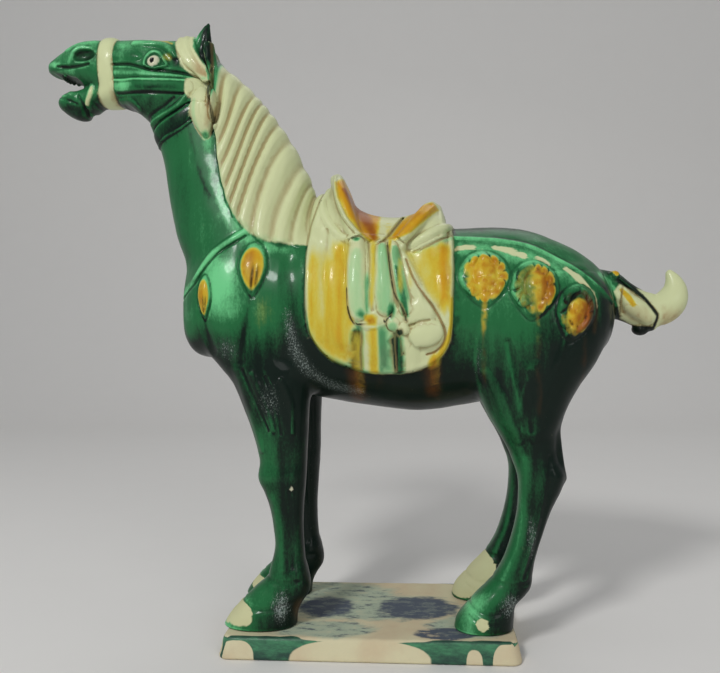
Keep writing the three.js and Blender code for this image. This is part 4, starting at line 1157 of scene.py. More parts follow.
@dataclass(frozen=True)
class Bridle(Part):
    """Noseband, cheek straps, throat latch and the tassels behind the jowls."""

    nose_line: tuple[Point3, ...] = (
        (-169.8, 396, 5.2), (-169.6, 372, 5.0), (-169.8, 358, 5.5), (-171, 350, 5.4),
        (-171.8, 345.5, 4.6))
    tassel: Rod = Rod(
        ((-103.8, 22, 347.5, 3.8), (-103.6, 23.6, 340.5, 7.2), (-103.2, 24.6, 333, 7.2),
            (-102, 24.8, 325.5, 5.0), (-100.8, 24, 319.5, 1.8)), flat=0.8)

    def press(self, clay: Clay) -> None:
        """Raises the bands and hangs the tassels."""
        clay.emboss(
            Ridge(self.nose_line, 2.0, round=2.6),
            Ridge(((-163.5, 359.6, 1.0), (-150.6, 358, 1.1), (-136, 356.2, 1.1), (-115, 355.9, 1.0)), 0.9),
            Ridge(((-163, 352, 1.0), (-151, 349.9, 1.2), (-136.7, 348.3, 1.3), (-116, 347.6, 1.1)), -0.9),
            Ridge(((-163, 355.8, 4), (-150, 354, 4.4), (-136, 352.2, 4.4), (-114, 352, 4.2)),
                  0.8, round=2.6),
            Ridge(((-111, 337, 4.6), (-118, 331.8, 5), (-128, 326.5, 5), (-140, 321, 4.6)), 1.1,
                  round=2.6),
            Ridge(((-111, 329.6, 1.0), (-119, 324.6, 1.2), (-130, 320.2, 1.2), (-140, 316, 1)), 0.8),
            Ridge(((-112.6, 341.6, 1.2), (-121, 336.6, 1.3), (-131, 331.8, 1.3), (-141, 327.5, 1.2)), -1.2))
        clay.add(self.tassel, blend=0.8)
        clay.emboss(Ridge(((-113, 341.6, 0.8), (-103, 339.8, 0.9), (-93, 341, 0.8)), -0.5),
                    Ridge(((-103, 338, 0.9), (-102.6, 330, 0.9), (-101.6, 321, 0.7)), -0.4))

    def brush(self, coat: Coat) -> None:
        """Cream noseband and tassel, a cream patch where the strap ends, dark latch."""
        x, z = coat.x, coat.z
        band = Ridge(self.nose_line, 1.0)
        nose = np.where((z > 340) & (x < -158) & (x > -184), (1 - band.across(x, z)) * 6, -9)
        coat.slip(nose + 0.6)
        coat.add(Dose.LIGHT, 0.75 * coat.spot((-158, 355.5), (11, 7), 0.95))
        coat.most(Dose.RUST, 0.5 * coat.spot((-166.5, 350), (5, 8), 0.9)
                  + 0.25 * coat.stroke((-164.8, 384, 1.6), (-164.6, 366, 1.6)))
        coat.most(Dose.LINE, 0.55 * coat.stroke((-176.6, 352, 1.4), (-177.6, 343, 1.6)))
        folded = np.stack([x, coat.side, z], 1).astype(np.float32)
        coat.most(Dose.CREAM, np.clip((1.0 - self.tassel.distance(folded)) * 3, -6, 6)
                  - (coat.side < 17) * 9)
        coat.most(Dose.RUST, 0.5 * coat.stroke((-98, 341, 4), (-97.6, 333, 4.6), (-99.4, 325, 3.4),
                                               soft=0.95) * (coat.side > 17))
        coat.most(Dose.WASH, (coat.side > 17) * np.maximum(
            0.8 * coat.spot((-101.2, 319), (5, 6), 0.9),
            0.35 * coat.stroke((-107, 341, 3), (-107.4, 331, 3), (-105, 323, 3), soft=0.9)))
        patch = coat.inside((-114.5, 357), (-100, 359.5), (-98, 344), (-106, 344.5), (-112, 344.5),
            (-115.2, 348))
        coat.slip(patch + 0.3, 3)
        coat.most(Dose.WASH, 0.45 * coat.spot((-103, 357), (5, 2.4), 0.9))
        latch = coat.stroke((-111, 334.5, 6), (-118, 329.6, 6.4), (-128, 325, 6.2),
            (-141, 320, 5.6), soft=0.25)
        coat.add(Dose.LIGHT, -0.75 * latch * (coat.doses[Dose.CREAM] < 0))
        coat.add(Dose.LIGHT, 0.4 * coat.stroke((-111, 329.2, 1.6), (-119, 324.4, 1.6), (-131, 320, 1.6)))
        coat.most(Dose.LINE, 0.6 * coat.stroke((-162, 352, 1.2), (-151, 349.9, 1.4), (-136.7, 348.3, 1.5),
                                               (-116, 347.6, 1.3)))
        coat.add(Dose.LIGHT, 0.7 * coat.stroke((-163.5, 359.6, 1.4), (-150.6, 358, 1.6),
                                               (-136, 356.2, 1.6), (-115, 355.9, 1.4), soft=0.9)
                 - 0.45 * coat.stroke((-146, 353, 3), (-132, 351.8, 3.6), (-120, 351.6, 3), soft=0.9))


@dataclass(frozen=True)
class Mane(Part, Relief):
    """Combed locks from crest to edge on both sides of the neck, and the forelock."""

    crest: tuple[Point2, ...] = ((-103, 373), (-95, 368.5), (-84.5, 361.5), (-73, 351), (-65, 343),
                                 (-56, 330), (-46.5, 315.5), (-37.5, 299), (-31.5, 286))
    middle: tuple[Point2, ...] = ((-99.4, 353), (-95.6, 346.5), (-88.6, 337.5), (-83.5, 321.5),
                                  (-77.5, 307), (-70, 299), (-61.5, 289.5), (-48.4, 276.5),
                                  (-36.5, 268))
    edge: tuple[Point2, ...] = ((-98.6, 340), (-97.2, 331), (-95, 320), (-92.2, 299), (-86.2, 277),
                                (-78.5, 263), (-66, 252), (-51.6, 248.5), (-34, 246.5))
    locks: int = 11
    thick: float = 2.3
    samples: tuple[int, int] = (240, 110)
    chart_low: Point2 = (-116, 238)
    chart_high: Point2 = (-26, 388)

    def _point(self, s: Array, t: Array) -> tuple[Array, Array]:
        """The place in the side view at share s along the crest and t down the lock."""
        total = np.zeros((len(s), 2))
        shares = (2 * (t - 0.5) * (t - 1), 4 * t * (1 - t), 2 * t * (t - 0.5))
        for corners, share in zip((self.crest, self.middle, self.edge), shares):
            line = fair(np.array(corners), 12)
            at = np.clip(s, 0, 1) * (len(line) - 1)
            i = np.clip(at.astype(int), 0, len(line) - 2)
            part = (np.clip(s, -0.05, 1.05) * (len(line) - 1) - i)[:, None]
            total += (line[i] * (1 - part) + line[i + 1] * part) * share[:, None]
        return total[:, 0], total[:, 1]

    @cached_property
    def charts(self) -> tuple[Chart, Chart]:
        """The lock share s and the way down it t, charted over the side view."""
        along, down = self.samples
        grid = np.meshgrid(np.linspace(-0.04, 1.04, along), np.linspace(-0.2, 1.2, down),
            indexing="ij")
        s0, t0 = (g.ravel() for g in grid)
        px, pz = self._point(s0, t0)

        def nearest(x: Array, z: Array) -> Array:
            """The index of the sample nearest to each place."""
            out = np.empty(len(x), int)
            for k in range(0, len(x), 1000):
                gap = (x[k:k + 1000, None] - px) ** 2 + (z[k:k + 1000, None] - pz) ** 2
                out[k:k + 1000] = gap.argmin(1)
            return out

        low = self.chart_low
        index = Chart(low, self.chart_high, nearest, 1.0).values.astype(int)
        charts = []
        for share in (s0, t0):
            chart = Chart(low, (low[0] + 1, low[1] + 1), lambda x, z: x, 1.0)
            values = share[index].astype(np.float32)
            for _ in range(3):
                padded = np.pad(values, 1, mode="edge")
                values = (padded[1:-1, 1:-1] * 4 + padded[:-2, 1:-1] + padded[2:, 1:-1]
                          + padded[1:-1, :-2] + padded[1:-1, 2:]) / 8
            chart.values = values
            charts.append(chart)
        return charts[0], charts[1]

    @property
    def box(self) -> tuple[Array, Array]:
        """The side view that the mane covers."""
        return np.array([-104.0, 240.0]), np.array([-27.0, 382.0])

    def shape(self, x: Array, z: Array) -> tuple[Array, Array, Array]:
        """Cover, lock swell and strand ripple at each place."""
        s, t = (chart(x, z) for chart in self.charts)
        sides = ramp(-0.015, 0.012, s) * ramp(1.0, 0.9, s)
        scallop = 0.02 * np.abs(np.sin(np.pi * s * self.locks))
        cover = sides * ramp(1.02 + scallop, 0.95 + scallop, t)
        phase = s * self.locks + 0.22 * np.sin(11 * s + 1) + 0.1 * np.sin(5 * t + 3 * s)
        swell = (0.5 - 0.5 * np.cos(2 * np.pi * phase)) ** 0.8
        strand = 0.5 + 0.5 * np.cos(2 * np.pi * (phase * 3 + 0.12 * np.sin(9 * t)))
        return cover, swell, strand

    def height(self, x: Array, z: Array) -> Array:
        """The relief of the locks, lower at the crest."""
        cover, swell, strand = self.shape(x, z)
        t = self.charts[1](x, z)
        full = ramp(-0.05, 0.2, t)
        return cover * (0.9 + self.thick * swell * (0.25 + 0.75 * full)
                        + 0.16 * strand * (0.3 + 0.7 * swell) * full)

    def press(self, clay: Clay) -> None:
        """Raises the locks and lays the forelock beside the brow."""
        clay.emboss(self)
        for lift, shift in ((2.9, -4.4), (3.4, -0.6), (2.9, 3.2)):
            clay.add(Rod(((-117 + shift, 0, 388, lift - 0.6), (-116 + shift, 10, 385, lift),
                          (-114.2 + shift, 16.4, 377.5, lift * 0.95),
                          (-109.5 + shift, 19.4, 369, lift * 0.9),
                          (-104.8 + shift * 0.7, 20.2, 362.4, lift * 0.72),
                          (-101 + shift * 0.4, 20, 356, 1.4))), blend=0.9)

    def brush(self, coat: Coat) -> None:
        """Cream locks with brown between them."""
        x, z = coat.x, coat.z
        low, high = self.box
        inside = (x > low[0]) & (x < high[0]) & (z > low[1]) & (z < high[1])
        cover, swell, strand = self.shape(x, z)
        s, t = (chart(x, z) for chart in self.charts)
        depth = np.minimum(np.minimum(s + 0.005, 1.01 - s) * 150, (1.0 - t) * 45)
        coat.most(Dose.CREAM, np.where(inside, np.clip(depth, -6, 6), -6))
        share = inside * ramp(0.2, 1.0, cover)
        coat.add(Dose.LINE, share * (0.4 * ramp(0.6, 0.0, swell) + 0.05 * ramp(0.5, 0.0, strand)))
        coat.add(Dose.RUST, share * 0.3 * ramp(0.8, 0.1, swell) * ramp(-0.1, 0.4, t))
        coat.most(Dose.WASH, share * np.maximum(
            1.1 * ramp(0.15, 0.1, s) * ramp(0.8, 0.45, t), 0.3 * ramp(0.88, 1.0, t)))
        coat.most(Dose.LINE, 0.8 * coat.stroke((-99, 366, 1.2), (-99.4, 356, 1.3), (-98, 345, 1.2),
                                               (-95.4, 331, 1.2), (-97.6, 320, 1.2))
                  * (coat.side > 9))
        lock = coat.inside((-125, 390), (-112, 391), (-110, 378), (-104, 368), (-98.8, 361),
            (-98.5, 355), (-103.5, 356.4), (-110.5, 359.4), (-116, 363.5), (-120, 372))
        coat.wipe(Dose.LINE, ramp(0, 1, lock))
        coat.slip(lock, 4)
        coat.add(Dose.RUST, ramp(0, 3, lock) * (0.18 + 0.5 * ramp(-114, -104, x)))


@dataclass(frozen=True)
class Saddle(Part):
    """Arched pommel and cantle with the dipped seat between them."""

    seat: Stack = Stack((
        (-37, 228, 270, 22), (-33, 216, 281, 29), (-27, 210, 284, 33), (-20, 206, 282, 36),
        (-12, 204, 275.5, 38), (-4, 202, 269.5, 39), (6, 200, 265.8, 37), (20, 200, 264.6, 37),
        (31, 202, 267, 40), (39, 205, 269, 41), (46, 209, 266.5, 38), (50.5, 218, 257, 32)),
        power=2.2)
    pommel: Board = Board((-5, 250), (-19.4, 292), 40, 4.0)
    cantle: Board = Board((22, 248), (43, 273), 43, 4.2)

    def press(self, clay: Clay) -> None:
        """Adds the seat and its two boards."""
        clay.add(self.seat, blend=2.5)
        clay.add(self.pommel, self.cantle, blend=3.5)
        clay.emboss(
            Ridge(((40, 271, 2.4), (33, 264.5, 3.6), (25, 257, 3.4), (17, 249, 2)), -1.0),
            Ridge(((23, 265, 1.4), (18.5, 257, 1.8), (12.5, 248.5, 1.6), (8, 246, 1.2)), -2.0),
            Ridge(((-19, 292, 1.5), (-17, 277, 1.7), (-12, 264, 1.7), (-4, 253.5, 1.5),
                   (4, 249, 1.2)), 1.2),
            Ridge(((-27, 276, 2.4), (-24, 264, 3), (-17, 254, 3), (-7, 247, 2.4)), 0.9))

    def brush(self, coat: Coat) -> None:
        """Amber plates behind cream rims."""
        saddle = coat.inside((-36, 248), (-38, 276), (-24, 300), (-8, 300), (10, 272), (30, 274),
            (48, 284), (56, 262), (53, 250), (10, 243), (-6, 244))
        coat.slip(saddle)
        coat.wipe(Dose.LINE, ramp(0, 1.5, saddle))
        plate = coat.inside((-18.6, 286), (-14, 292), (-4, 286), (6, 276), (9.5, 268), (9, 249),
            (4, 246), (-3, 253), (-10, 262.5), (-16.4, 275))
        back = coat.inside((42, 274), (34, 270), (27, 266.5), (22, 261.5), (15, 249), (19, 247),
            (29, 252), (39, 261.5), (45.5, 268.5))
        coat.most(Dose.AMBER, ramp(-1.4, 1.8, plate) * (0.75 + 0.4 * ramp(0.5, 4, plate)))
        coat.most(Dose.AMBER, ramp(-1.4, 1.4, back) * 1.0)
        coat.most(Dose.RUST, 0.85 * coat.stroke((-12, 281, 3), (-4, 270, 6.5), (2, 260, 6.5),
                                                (6.5, 250, 4), soft=0.9))
        coat.most(Dose.RUST, 0.35 * coat.stroke((36, 266, 2.5), (26, 257, 2.5), (18, 249, 2), soft=0.9))
        coat.most(Dose.AMBER, 0.62 * coat.spot((14.5, 258), (3.6, 8), 0.9))
        coat.most(Dose.LINE, 0.75 * coat.stroke((22.4, 263.6, 1.2), (19, 258, 1.4), (13, 249.5, 1.2),
                                                (9, 246.8, 1.0), soft=0.9))
        coat.most(Dose.WASH, 0.8 * coat.spot((-4, 249), (4.5, 2.6), 0.8)
                  + 0.35 * coat.stroke((34, 262, 3), (42, 267, 3), soft=0.9))


@dataclass(frozen=True)
class Cloths(Part):
    """The saddle cloth with its rolled edge, and the gathered and tied cloth over it."""

    cloth: Patch = Patch(
        ((-19, 306), (-27, 281), (-31, 267), (-34.4, 256), (-35.5, 242), (-35.5, 228), (-35, 206),
            (-32, 190), (-20, 175.5), (0, 168.5), (18, 167.5), (32, 169.5), (44, 176), (51, 187),
            (53, 210), (54, 236), (54, 262), (53, 306)), 2.3, slope=1.4, rim=0.7)
    under: Patch = Patch(((-9, 252), (-10, 228), (-9, 206), (-4, 196), (6, 193.5), (16, 197),
                          (26, 196), (36, 205), (34, 222), (26, 240), (24, 250)), 1.2, slope=2.0)
    roll: tuple[Point3, ...] = ((27, 243.5, 1.8), (32, 246.5, 2.6), (38, 250, 2.9), (44, 253.4, 3.0),
                                (49, 255.6, 2.8))
    line: tuple[Point3, ...] = (
        (25.5, 236, 0.9), (29.5, 225, 1.0), (35, 215.6, 1.1), (40.5, 208, 1.1), (45, 200, 1.1),
        (48, 192, 1.1), (46.6, 185.6, 1.1), (42, 181, 1.0), (37, 179.4, 0.8))

    def press(self, clay: Clay) -> None:
        """Lays the cloths on and gathers their folds."""
        clay.emboss(
            self.cloth, self.under,
            Ridge(((-4, 246, 5), (-4.5, 230, 6), (-4.5, 214, 6.2), (-2.8, 204.5, 5.2)), 2.8, round=2.0),
            Ridge(((10, 246, 3), (11.5, 232, 5), (12.5, 216, 5.6), (13, 207, 4.8)), 2.8, round=2.0),
            Ridge(((18, 244, 2.6), (20, 230, 4), (22.5, 216, 4.4), (25, 206.5, 4)), 2.5, round=1.8),
            Ridge(((24, 243, 2.5), (27.5, 230, 4.4), (32, 219, 5), (35.5, 210, 4)), 1.2, round=1.6),
            Ridge(((3, 247, 1.4), (4.2, 232, 1.7), (4.6, 216, 1.8), (5.5, 206, 2.2)), -0.9),
            Ridge(((14.5, 244, 1), (16.2, 232, 1.3), (19, 218, 1.4), (20.5, 208, 1.6)), -1.2),
            Ridge(((-28, 256, 4), (-28.5, 220, 4.6), (-24, 190, 4)), 0.6),
            Ridge(((-17, 254, 5), (-17, 220, 7), (-14, 188, 5)), 0.8),
            Ridge(((-22.5, 256, 2), (-23, 220, 2.6), (-19, 184, 2)), -0.45),
            Ridge(((-2, 196, 1.2), (-1.5, 186, 1.7), (-1, 171, 1.2)), -1.0),
            Ridge(((20, 194, 1.2), (19.5, 186, 1.6), (19, 170, 1.2)), -0.9),
            Ridge(((8, 193, 3.4), (8.5, 182, 4.2), (8.5, 171, 3.4)), 0.6),
            Ridge(((30, 240.5, 0.9), (40, 245, 1.2), (50, 250, 1.0)), -1.0))
        roll = tuple((x, clay.skin(x, z) - 0.7, z, r) for x, z, r in self.roll)
        clay.add(Rod(roll + ((52, 15, 257.5, 2.6), (52.6, 0, 258.5, 2.4))), blend=1.2)
        outer = clay.skin(34, 198)
        clay.add(Blob((34, outer + 0.2, 204), (8, 3.2, 8.4), 0.5),
                 Blob((37, outer + 0.2, 191.5), (10.4, 3.2, 7.6), 0.25), blend=1.8)
        clay.add(Blob((24, outer + 0.4, 194.6), (3.4, 2.6, 3.8), 0.4),
                 Blob((17.4, outer + 0.5, 197.6), (3.6, 2.2, 4.4), 0.5), blend=1.0)
        clay.emboss(
            Ridge(self.line, -1.3),
            Ridge(((27, 196.5, 0.9), (33, 198.6, 1.3), (39, 199.6, 0.9)), -0.9),
            Ridge(((30, 183, 3.4), (29, 175, 4.4), (28, 169, 3)), 0.8),
            Ridge(((46, 226, 3), (47.5, 212, 3.4), (47, 198, 3)), 0.7))

    def brush(self, coat: Coat) -> None:
        """Cream above, amber panels and green runs below, white where it is tied up, and painted shade just
        under the cloth's lower edge.
        """
        z = coat.z
        depth = self.cloth.depth(coat.x, z)
        on = ramp(-0.4, 0.5, depth)
        coat.slip(depth)
        self._left(coat, on)
        self._right(coat, on)
        self._middle(coat, on)
        rim = ramp(3.2, 0.6, depth) * ramp(-0.8, 0.2, depth)
        coat.most(Dose.WASH, rim * ramp(215, 190, z) * ramp(20, -10, coat.x) * 0.85)
        tied = greatest([coat.spot((33.5, 204), (8, 9), 0.4), coat.spot((37, 191), (12, 9), 0.4),
                                  coat.spot((31, 176), (7, 12), 0.5)]) * (z < 214)
        for dose in (Dose.AMBER, Dose.RUST, Dose.WASH):
            coat.wipe(dose, tied)
        coat.most(Dose.AMBER, 0.85 * coat.spot((41, 176), (5, 10), 0.9, -0.4))
        coat.most(Dose.RUST, 0.6 * coat.spot((42, 173), (4, 8), 0.9, -0.4))
        coat.most(Dose.RUST, 0.55 * coat.stroke(*((a, b, r + 0.9) for a, b, r in self.line), soft=0.9))
        coat.most(Dose.LINE, 0.35 * coat.stroke(*self.line, soft=0.9))
        coat.most(Dose.RUST, 0.4 * coat.stroke((28, 194.6, 1), (35, 197.4, 1.3), (43, 196.6, 1)))
        below = greatest([0.75 * coat.run(-6, 5, 178, 146, 6), 0.35 * coat.run(8, 3, 174, 154, 4),
                                   0.75 * coat.run(40, 4.4, 180, 150, 5)])
        coat.most(Dose.RUST, (1 - on) * below)
        coat.most(Dose.AMBER, (1 - on) * np.maximum(0.42 * coat.run(-4.4, 3, 178, 152, 4),
                                                    0.42 * coat.run(41, 2.6, 180, 156, 4)))
        # painted shade just under the lower edge of the cloth
        coat.add(Dose.LIGHT, -0.5 * (1 - on) * ramp(-9, 0, depth) * ramp(200, 180, z))

    def _left(self, coat: Coat, on: Array) -> None:
        """The broad amber panel on the left, with a paler streak wiped down it as a painted highlight."""
        x, z = coat.x, coat.z
        fade = ramp(250, 232, z + 0.35 * (x + 20)) * ramp(168, 178, z)
        coat.most(Dose.AMBER, on * fade * 0.68 * ramp(-3, -7, x) * ramp(-36, -31, x))
        coat.most(Dose.AMBER, on * np.maximum(
            0.95 * coat.run(-14, 4.6, 250, 176, 7), 0.9 * coat.run(-31, 2, 240, 188, 3)))
        coat.most(Dose.RUST, on * (0.3 * coat.run(-12, 2.4, 246, 200, 4)
                                   + 0.2 * coat.run(-31.5, 1.4, 230, 200, 2)
                                   + 0.4 * coat.run(-8, 5, 188, 166, 5)))
        # painted highlight: a paler vertical streak wiped out of the amber
        coat.wipe(Dose.AMBER, 0.3 * coat.run(-25.5, 1.6, 262, 200, 2.5))
        green = np.maximum(
            1.1 * coat.run(-4.5, 3.8, 198, 166, 3),
            0.75 * coat.stroke((-35, 200, 3.4), (-29, 183, 5.6), (-14, 173, 6), (-2, 170, 4),
                soft=0.95))
        coat.most(Dose.WASH, on * green)
        coat.add(Dose.LIGHT, -0.6 * on * green)
        coat.wipe(Dose.AMBER, 0.62 * green)

    def _right(self, coat: Coat, on: Array) -> None:
        """The amber panel below the roll, with its orange margin."""
        right = coat.inside(
            (20, 244), (33, 244), (52, 251), (52.5, 206), (48, 199), (44, 203), (40, 209),
            (35, 216), (29, 226))
        coat.most(Dose.AMBER, (0.5 + 0.2 * ramp(30, 44, coat.x)) * ramp(-1.5, 5, right)
                  * ramp(252, 240, coat.z))
        coat.most(Dose.AMBER, on * np.maximum(
            coat.run(47.5, 4, 247, 204, 4),
            0.75 * coat.stroke((51.5, 212, 2.4), (51.6, 198, 2.4), (49.4, 188, 3), (44, 178, 3.4),
                               soft=0.8)))
        coat.most(Dose.RUST, on * (0.45 * coat.run(50, 2.4, 246, 208, 3.4)
                                   + 0.4 * coat.spot((44, 208), (6, 9), 0.9)))
        coat.most(Dose.WASH, on * np.maximum(
            0.45 * coat.stroke((28, 238, 2.4), (40, 243, 2.6), (53, 249.5, 2.4), soft=0.9),
            0.3 * coat.stroke((53, 204, 1.4), (52.4, 192, 1.6), (47, 180, 2), soft=0.9)))
        coat.most(Dose.LINE, 0.6 * coat.stroke((34, 241.5, 0.8), (43, 246, 1.1), (53, 251, 1.1)))

    def _middle(self, coat: Coat, on: Array) -> None:
        """The folds and the runs of glaze below them."""
        tint = greatest([
            0.4 * coat.stroke((-4, 240, 6), (-4.5, 228, 7), (-3.4, 208, 7.4), soft=0.7),
            0.5 * coat.stroke((11.5, 244, 4), (12.5, 232, 5.5), (13, 208, 6.5), soft=0.6),
            0.6 * coat.stroke((19, 242, 3), (21, 230, 4), (24, 212, 5), soft=0.5),
            0.85 * coat.run(2.8, 1.4, 232, 203, 3), 0.95 * coat.spot((17, 206), (4.4, 9), 0.9),
            1.1 * coat.stroke((20, 230, 2.4), (23.4, 214, 4), (25, 203, 3.8), soft=0.95),
            0.7 * coat.run(12.4, 4.4, 200, 164, 3), 1.1 * coat.run(20.6, 3.2, 196, 164, 3),
            0.8 * coat.spot((-1, 203), (7, 5), 0.95), 0.5 * coat.run(9.6, 1.6, 240, 206, 2.4),
            0.55 * coat.spot((18, 196.5), (4.6, 5), 0.6)])
        coat.most(Dose.WASH, on * tint)
        coat.wipe(Dose.AMBER, 0.8 * coat.stroke((-4, 242, 5), (-4.6, 228, 6), (-3.6, 206, 6), soft=0.4))
        coat.most(Dose.AMBER, on * greatest([
            0.7 * coat.run(5.8, 1.7, 252, 206, 2.4), 0.9 * coat.spot((5.4, 201), (6.5, 5), 0.7),
            0.8 * coat.run(6, 2.8, 200, 164, 2.4), 0.5 * coat.run(22, 1.8, 240, 214, 2.4),
            0.42 * coat.run(28.4, 2.2, 236, 216, 3), 0.5 * coat.run(-3.6, 4, 196, 166, 3),
            0.8 * coat.run(15.6, 1.4, 256, 238, 1.8)]))
        coat.most(Dose.RUST, on * greatest([
            coat.spot((5.4, 200.5), (5, 4), 0.8) * 0.5, 0.25 * coat.run(6, 2.2, 194, 168, 2.4),
            0.45 * coat.run(15.4, 1.8, 246, 236, 2)]))
        coat.most(Dose.LINE, on * greatest([
            0.8 * coat.run(-1.6, 0.9, 198, 166, 1.5), 0.95 * coat.run(18.2, 1.1, 196, 166, 1.4),
            0.9 * coat.run(23.4, 1.0, 192, 166, 1.4),
            0.85 * coat.stroke((14.4, 247, 1.2), (15.8, 232, 1.3), (18.4, 216, 1.7), (23, 207, 2),
                               (25.4, 199, 2.2), soft=0.95),
            0.95 * coat.spot((22.2, 193), (3.6, 4), 0.8),
            1.0 * coat.stroke((-9.6, 220, 0.9), (-8.8, 206, 1.4), (-6, 199, 1.5), (-1, 197.6, 1.3),
                              (5, 197, 1.1), (12, 199, 1.4), (17, 202.6, 1.6), soft=0.95),
            0.5 * coat.stroke((2.4, 240, 0.8), (3.8, 222, 0.9), (3.6, 206, 1.0), soft=0.95),
            0.8 * coat.stroke((13.2, 200, 1.0), (14.4, 194.6, 1.1), (18.6, 192, 1.2), soft=0.95)]))


@dataclass(frozen=True)
class Straps(Part):
    """Breast strap and crupper that follow the skin."""

    breast: tuple[Point3, ...] = (
        (-74, 256, 2.0), (-83, 250.5, 2.2), (-91, 245, 2.3), (-98.5, 237, 2.2), (-105, 228, 2.0),
        (-113, 222, 1.8), (-119.5, 217, 1.6))
    breast_end: tuple[Point4, ...] = (
        (-117.5, 12, 218.5, 1.7), (-120.3, 0, 216.5, 1.7))
    crupper: tuple[Point3, ...] = (
        (54, 250, 1.2), (78, 248, 1.2), (98, 243.5, 1.2), (113, 236, 1.2), (126, 228, 1.2),
        (138, 218, 1.2), (147, 209, 1.1))

    def press(self, clay: Clay) -> None:
        """Lays the straps on the skin."""
        for points, sunk, end in ((self.breast[:-2], 0.8, self.breast_end),
                                  (self.crupper, 0.5, ())):
            rod = tuple((x, clay.skin(x, z) - sunk, z, r) for x, z, r in points)
            clay.add(Rod(rod + end), blend=1.4)
        clay.emboss(Ridge(tuple((x, z - 2.6, 1.2) for x, z, _ in self.breast), -0.6))

    def brush(self, coat: Coat) -> None:
        """Mint straps, with bare slip showing under the crupper."""
        for lay, dose, amount, line, rise, half in (
                (coat.add, Dose.LIGHT, 0.5, self.breast, 0, 2.6),
                (coat.add, Dose.LIGHT, 0.6, self.crupper, -0.3, 1.8),
                (coat.most, Dose.LINE, 0.45, self.breast, -3, 1.0),
                (coat.most, Dose.LINE, 0.5, self.crupper[1:], 2.4, 1.2)):
            lay(dose, amount * coat.stroke(*((x, z + rise, half) for x, z, _ in line)))
        coat.add(Dose.LIGHT, 0.6 * coat.stroke((56, 243, 8), (78, 240, 9), (100, 234, 9),
                                               (118, 225, 9), (132, 212, 8), soft=0.9))
        dashes = (((56, 242, 2.4), (62, 243.5, 3.2), (67, 242.6, 2.2)),
                  ((78, 242.4, 2.4), (86, 240.6, 3.4), (96, 236.6, 2.8)),
                  ((103, 236, 2), (109, 231.6, 2.8)),
                  ((119, 229, 2.2), (127, 222, 3.6), (133, 213, 3.8), (135, 206, 2.4)))
        for dash in dashes:
            coat.most(Dose.CREAM, 3.4 * coat.stroke(*dash, soft=1.0) - 1.2 + 0.9 * coat.mottle)
        coat.most(Dose.RUST, 0.4 * coat.stroke((130, 217, 4), (135, 204, 4.4), (134, 190, 3), soft=0.9))


@dataclass(frozen=True)
class Drop:
    """A hanging drop: middle, half width, reach up and down, lean, and its petals."""

    x: float
    z: float
    half: float
    up: float
    down: float
    lean: float = 0.0
    petals: int = 0

    def local(self, x: Array, z: Array) -> tuple[Array, Array]:
        """Places in the drop's own frame, 1 at its edge."""
        c, s = math.cos(self.lean), math.sin(self.lean)
        dx, dz = x - self.x, z - self.z
        u, v = (dx * c + dz * s) / self.half, dz * c - dx * s
        return u, v / np.where(v > 0, self.up, self.down)

    def edge(self, x: Array, z: Array) -> Array:
        """Distance from the middle as a share of the outline, pinched to a point below."""
        u, v = self.local(x, z)
        pinch = np.where(v < 0, 1 - 0.38 * np.clip(-v, 0, 1.2) ** 1.6, 1)
        return np.hypot(u / pinch, v)


@dataclass(frozen=True)
class DropRelief(Relief):
    """The modelling of a drop: a pad with petals round a boss, and a small leaf."""

    drop: Drop

    @cached_property
    def box(self) -> tuple[Array, Array]:
        """A box round the drop."""
        d = self.drop
        grow = max(d.half, d.up, d.down) + 3
        return np.array([d.x - grow, d.z - grow]), np.array([d.x + grow, d.z + grow])

    def height(self, x: Array, z: Array) -> Array:
        """The relief's height."""
        d = self.drop
        q = d.edge(x, z)
        u, v = d.local(x, z)
        base = ramp(1.1, 0.85, q) * 1.5
        moat = -0.35 * np.exp(-((q - 1.13) / 0.08) ** 2)
        if not d.petals:
            dome = 2.2 * np.clip(1 - (q / 0.95) ** 2, 0, 1) ** 0.7
            slit = -0.8 * np.exp(-((u - 0.25 - 0.3 * v) / 0.09) ** 2) * ramp(0.3, -0.3, v) * (q < 0.95)
            return base + moat + dome + slit
        angle = np.arctan2(u, v)
        turned = angle + 0.14 * np.sin(3 * angle + d.x) + 0.2 * np.sin(6 * q + 2 * angle)
        lobe = np.abs(np.cos(d.petals * turned / 2)) ** 0.7
        ring = np.exp(-((q - 0.78) / 0.16) ** 2) * ramp(2.7, 2.2, np.abs(angle))
        petal = ring * (0.8 + 0.35 * np.sin(2.3 * angle + d.x)) * (2.1 * lobe - 0.9)
        inner = np.hypot(u - 0.06, (v - 0.1) * 0.8)
        boss = (1.5 - 0.5 * np.abs(np.sin(2.5 * angle + 3 * inner))) * np.clip(1 - (inner / 0.46) ** 2, 0, 1)
        well = -0.6 * np.exp(-((inner - 0.5) / 0.07) ** 2)
        stem = 1.2 * np.clip(1 - (u / 0.2) ** 2, 0, 1) * ramp(-0.2, -0.6, v) * ramp(1.0, 0.85, q)
        leaf = 1.9 * np.clip(1 - np.hypot((u + 0.42) / 0.32, (v + 0.46) / 0.24) ** 2, 0, 1) ** 0.7
        return base + moat + petal + boss + well + stem + leaf


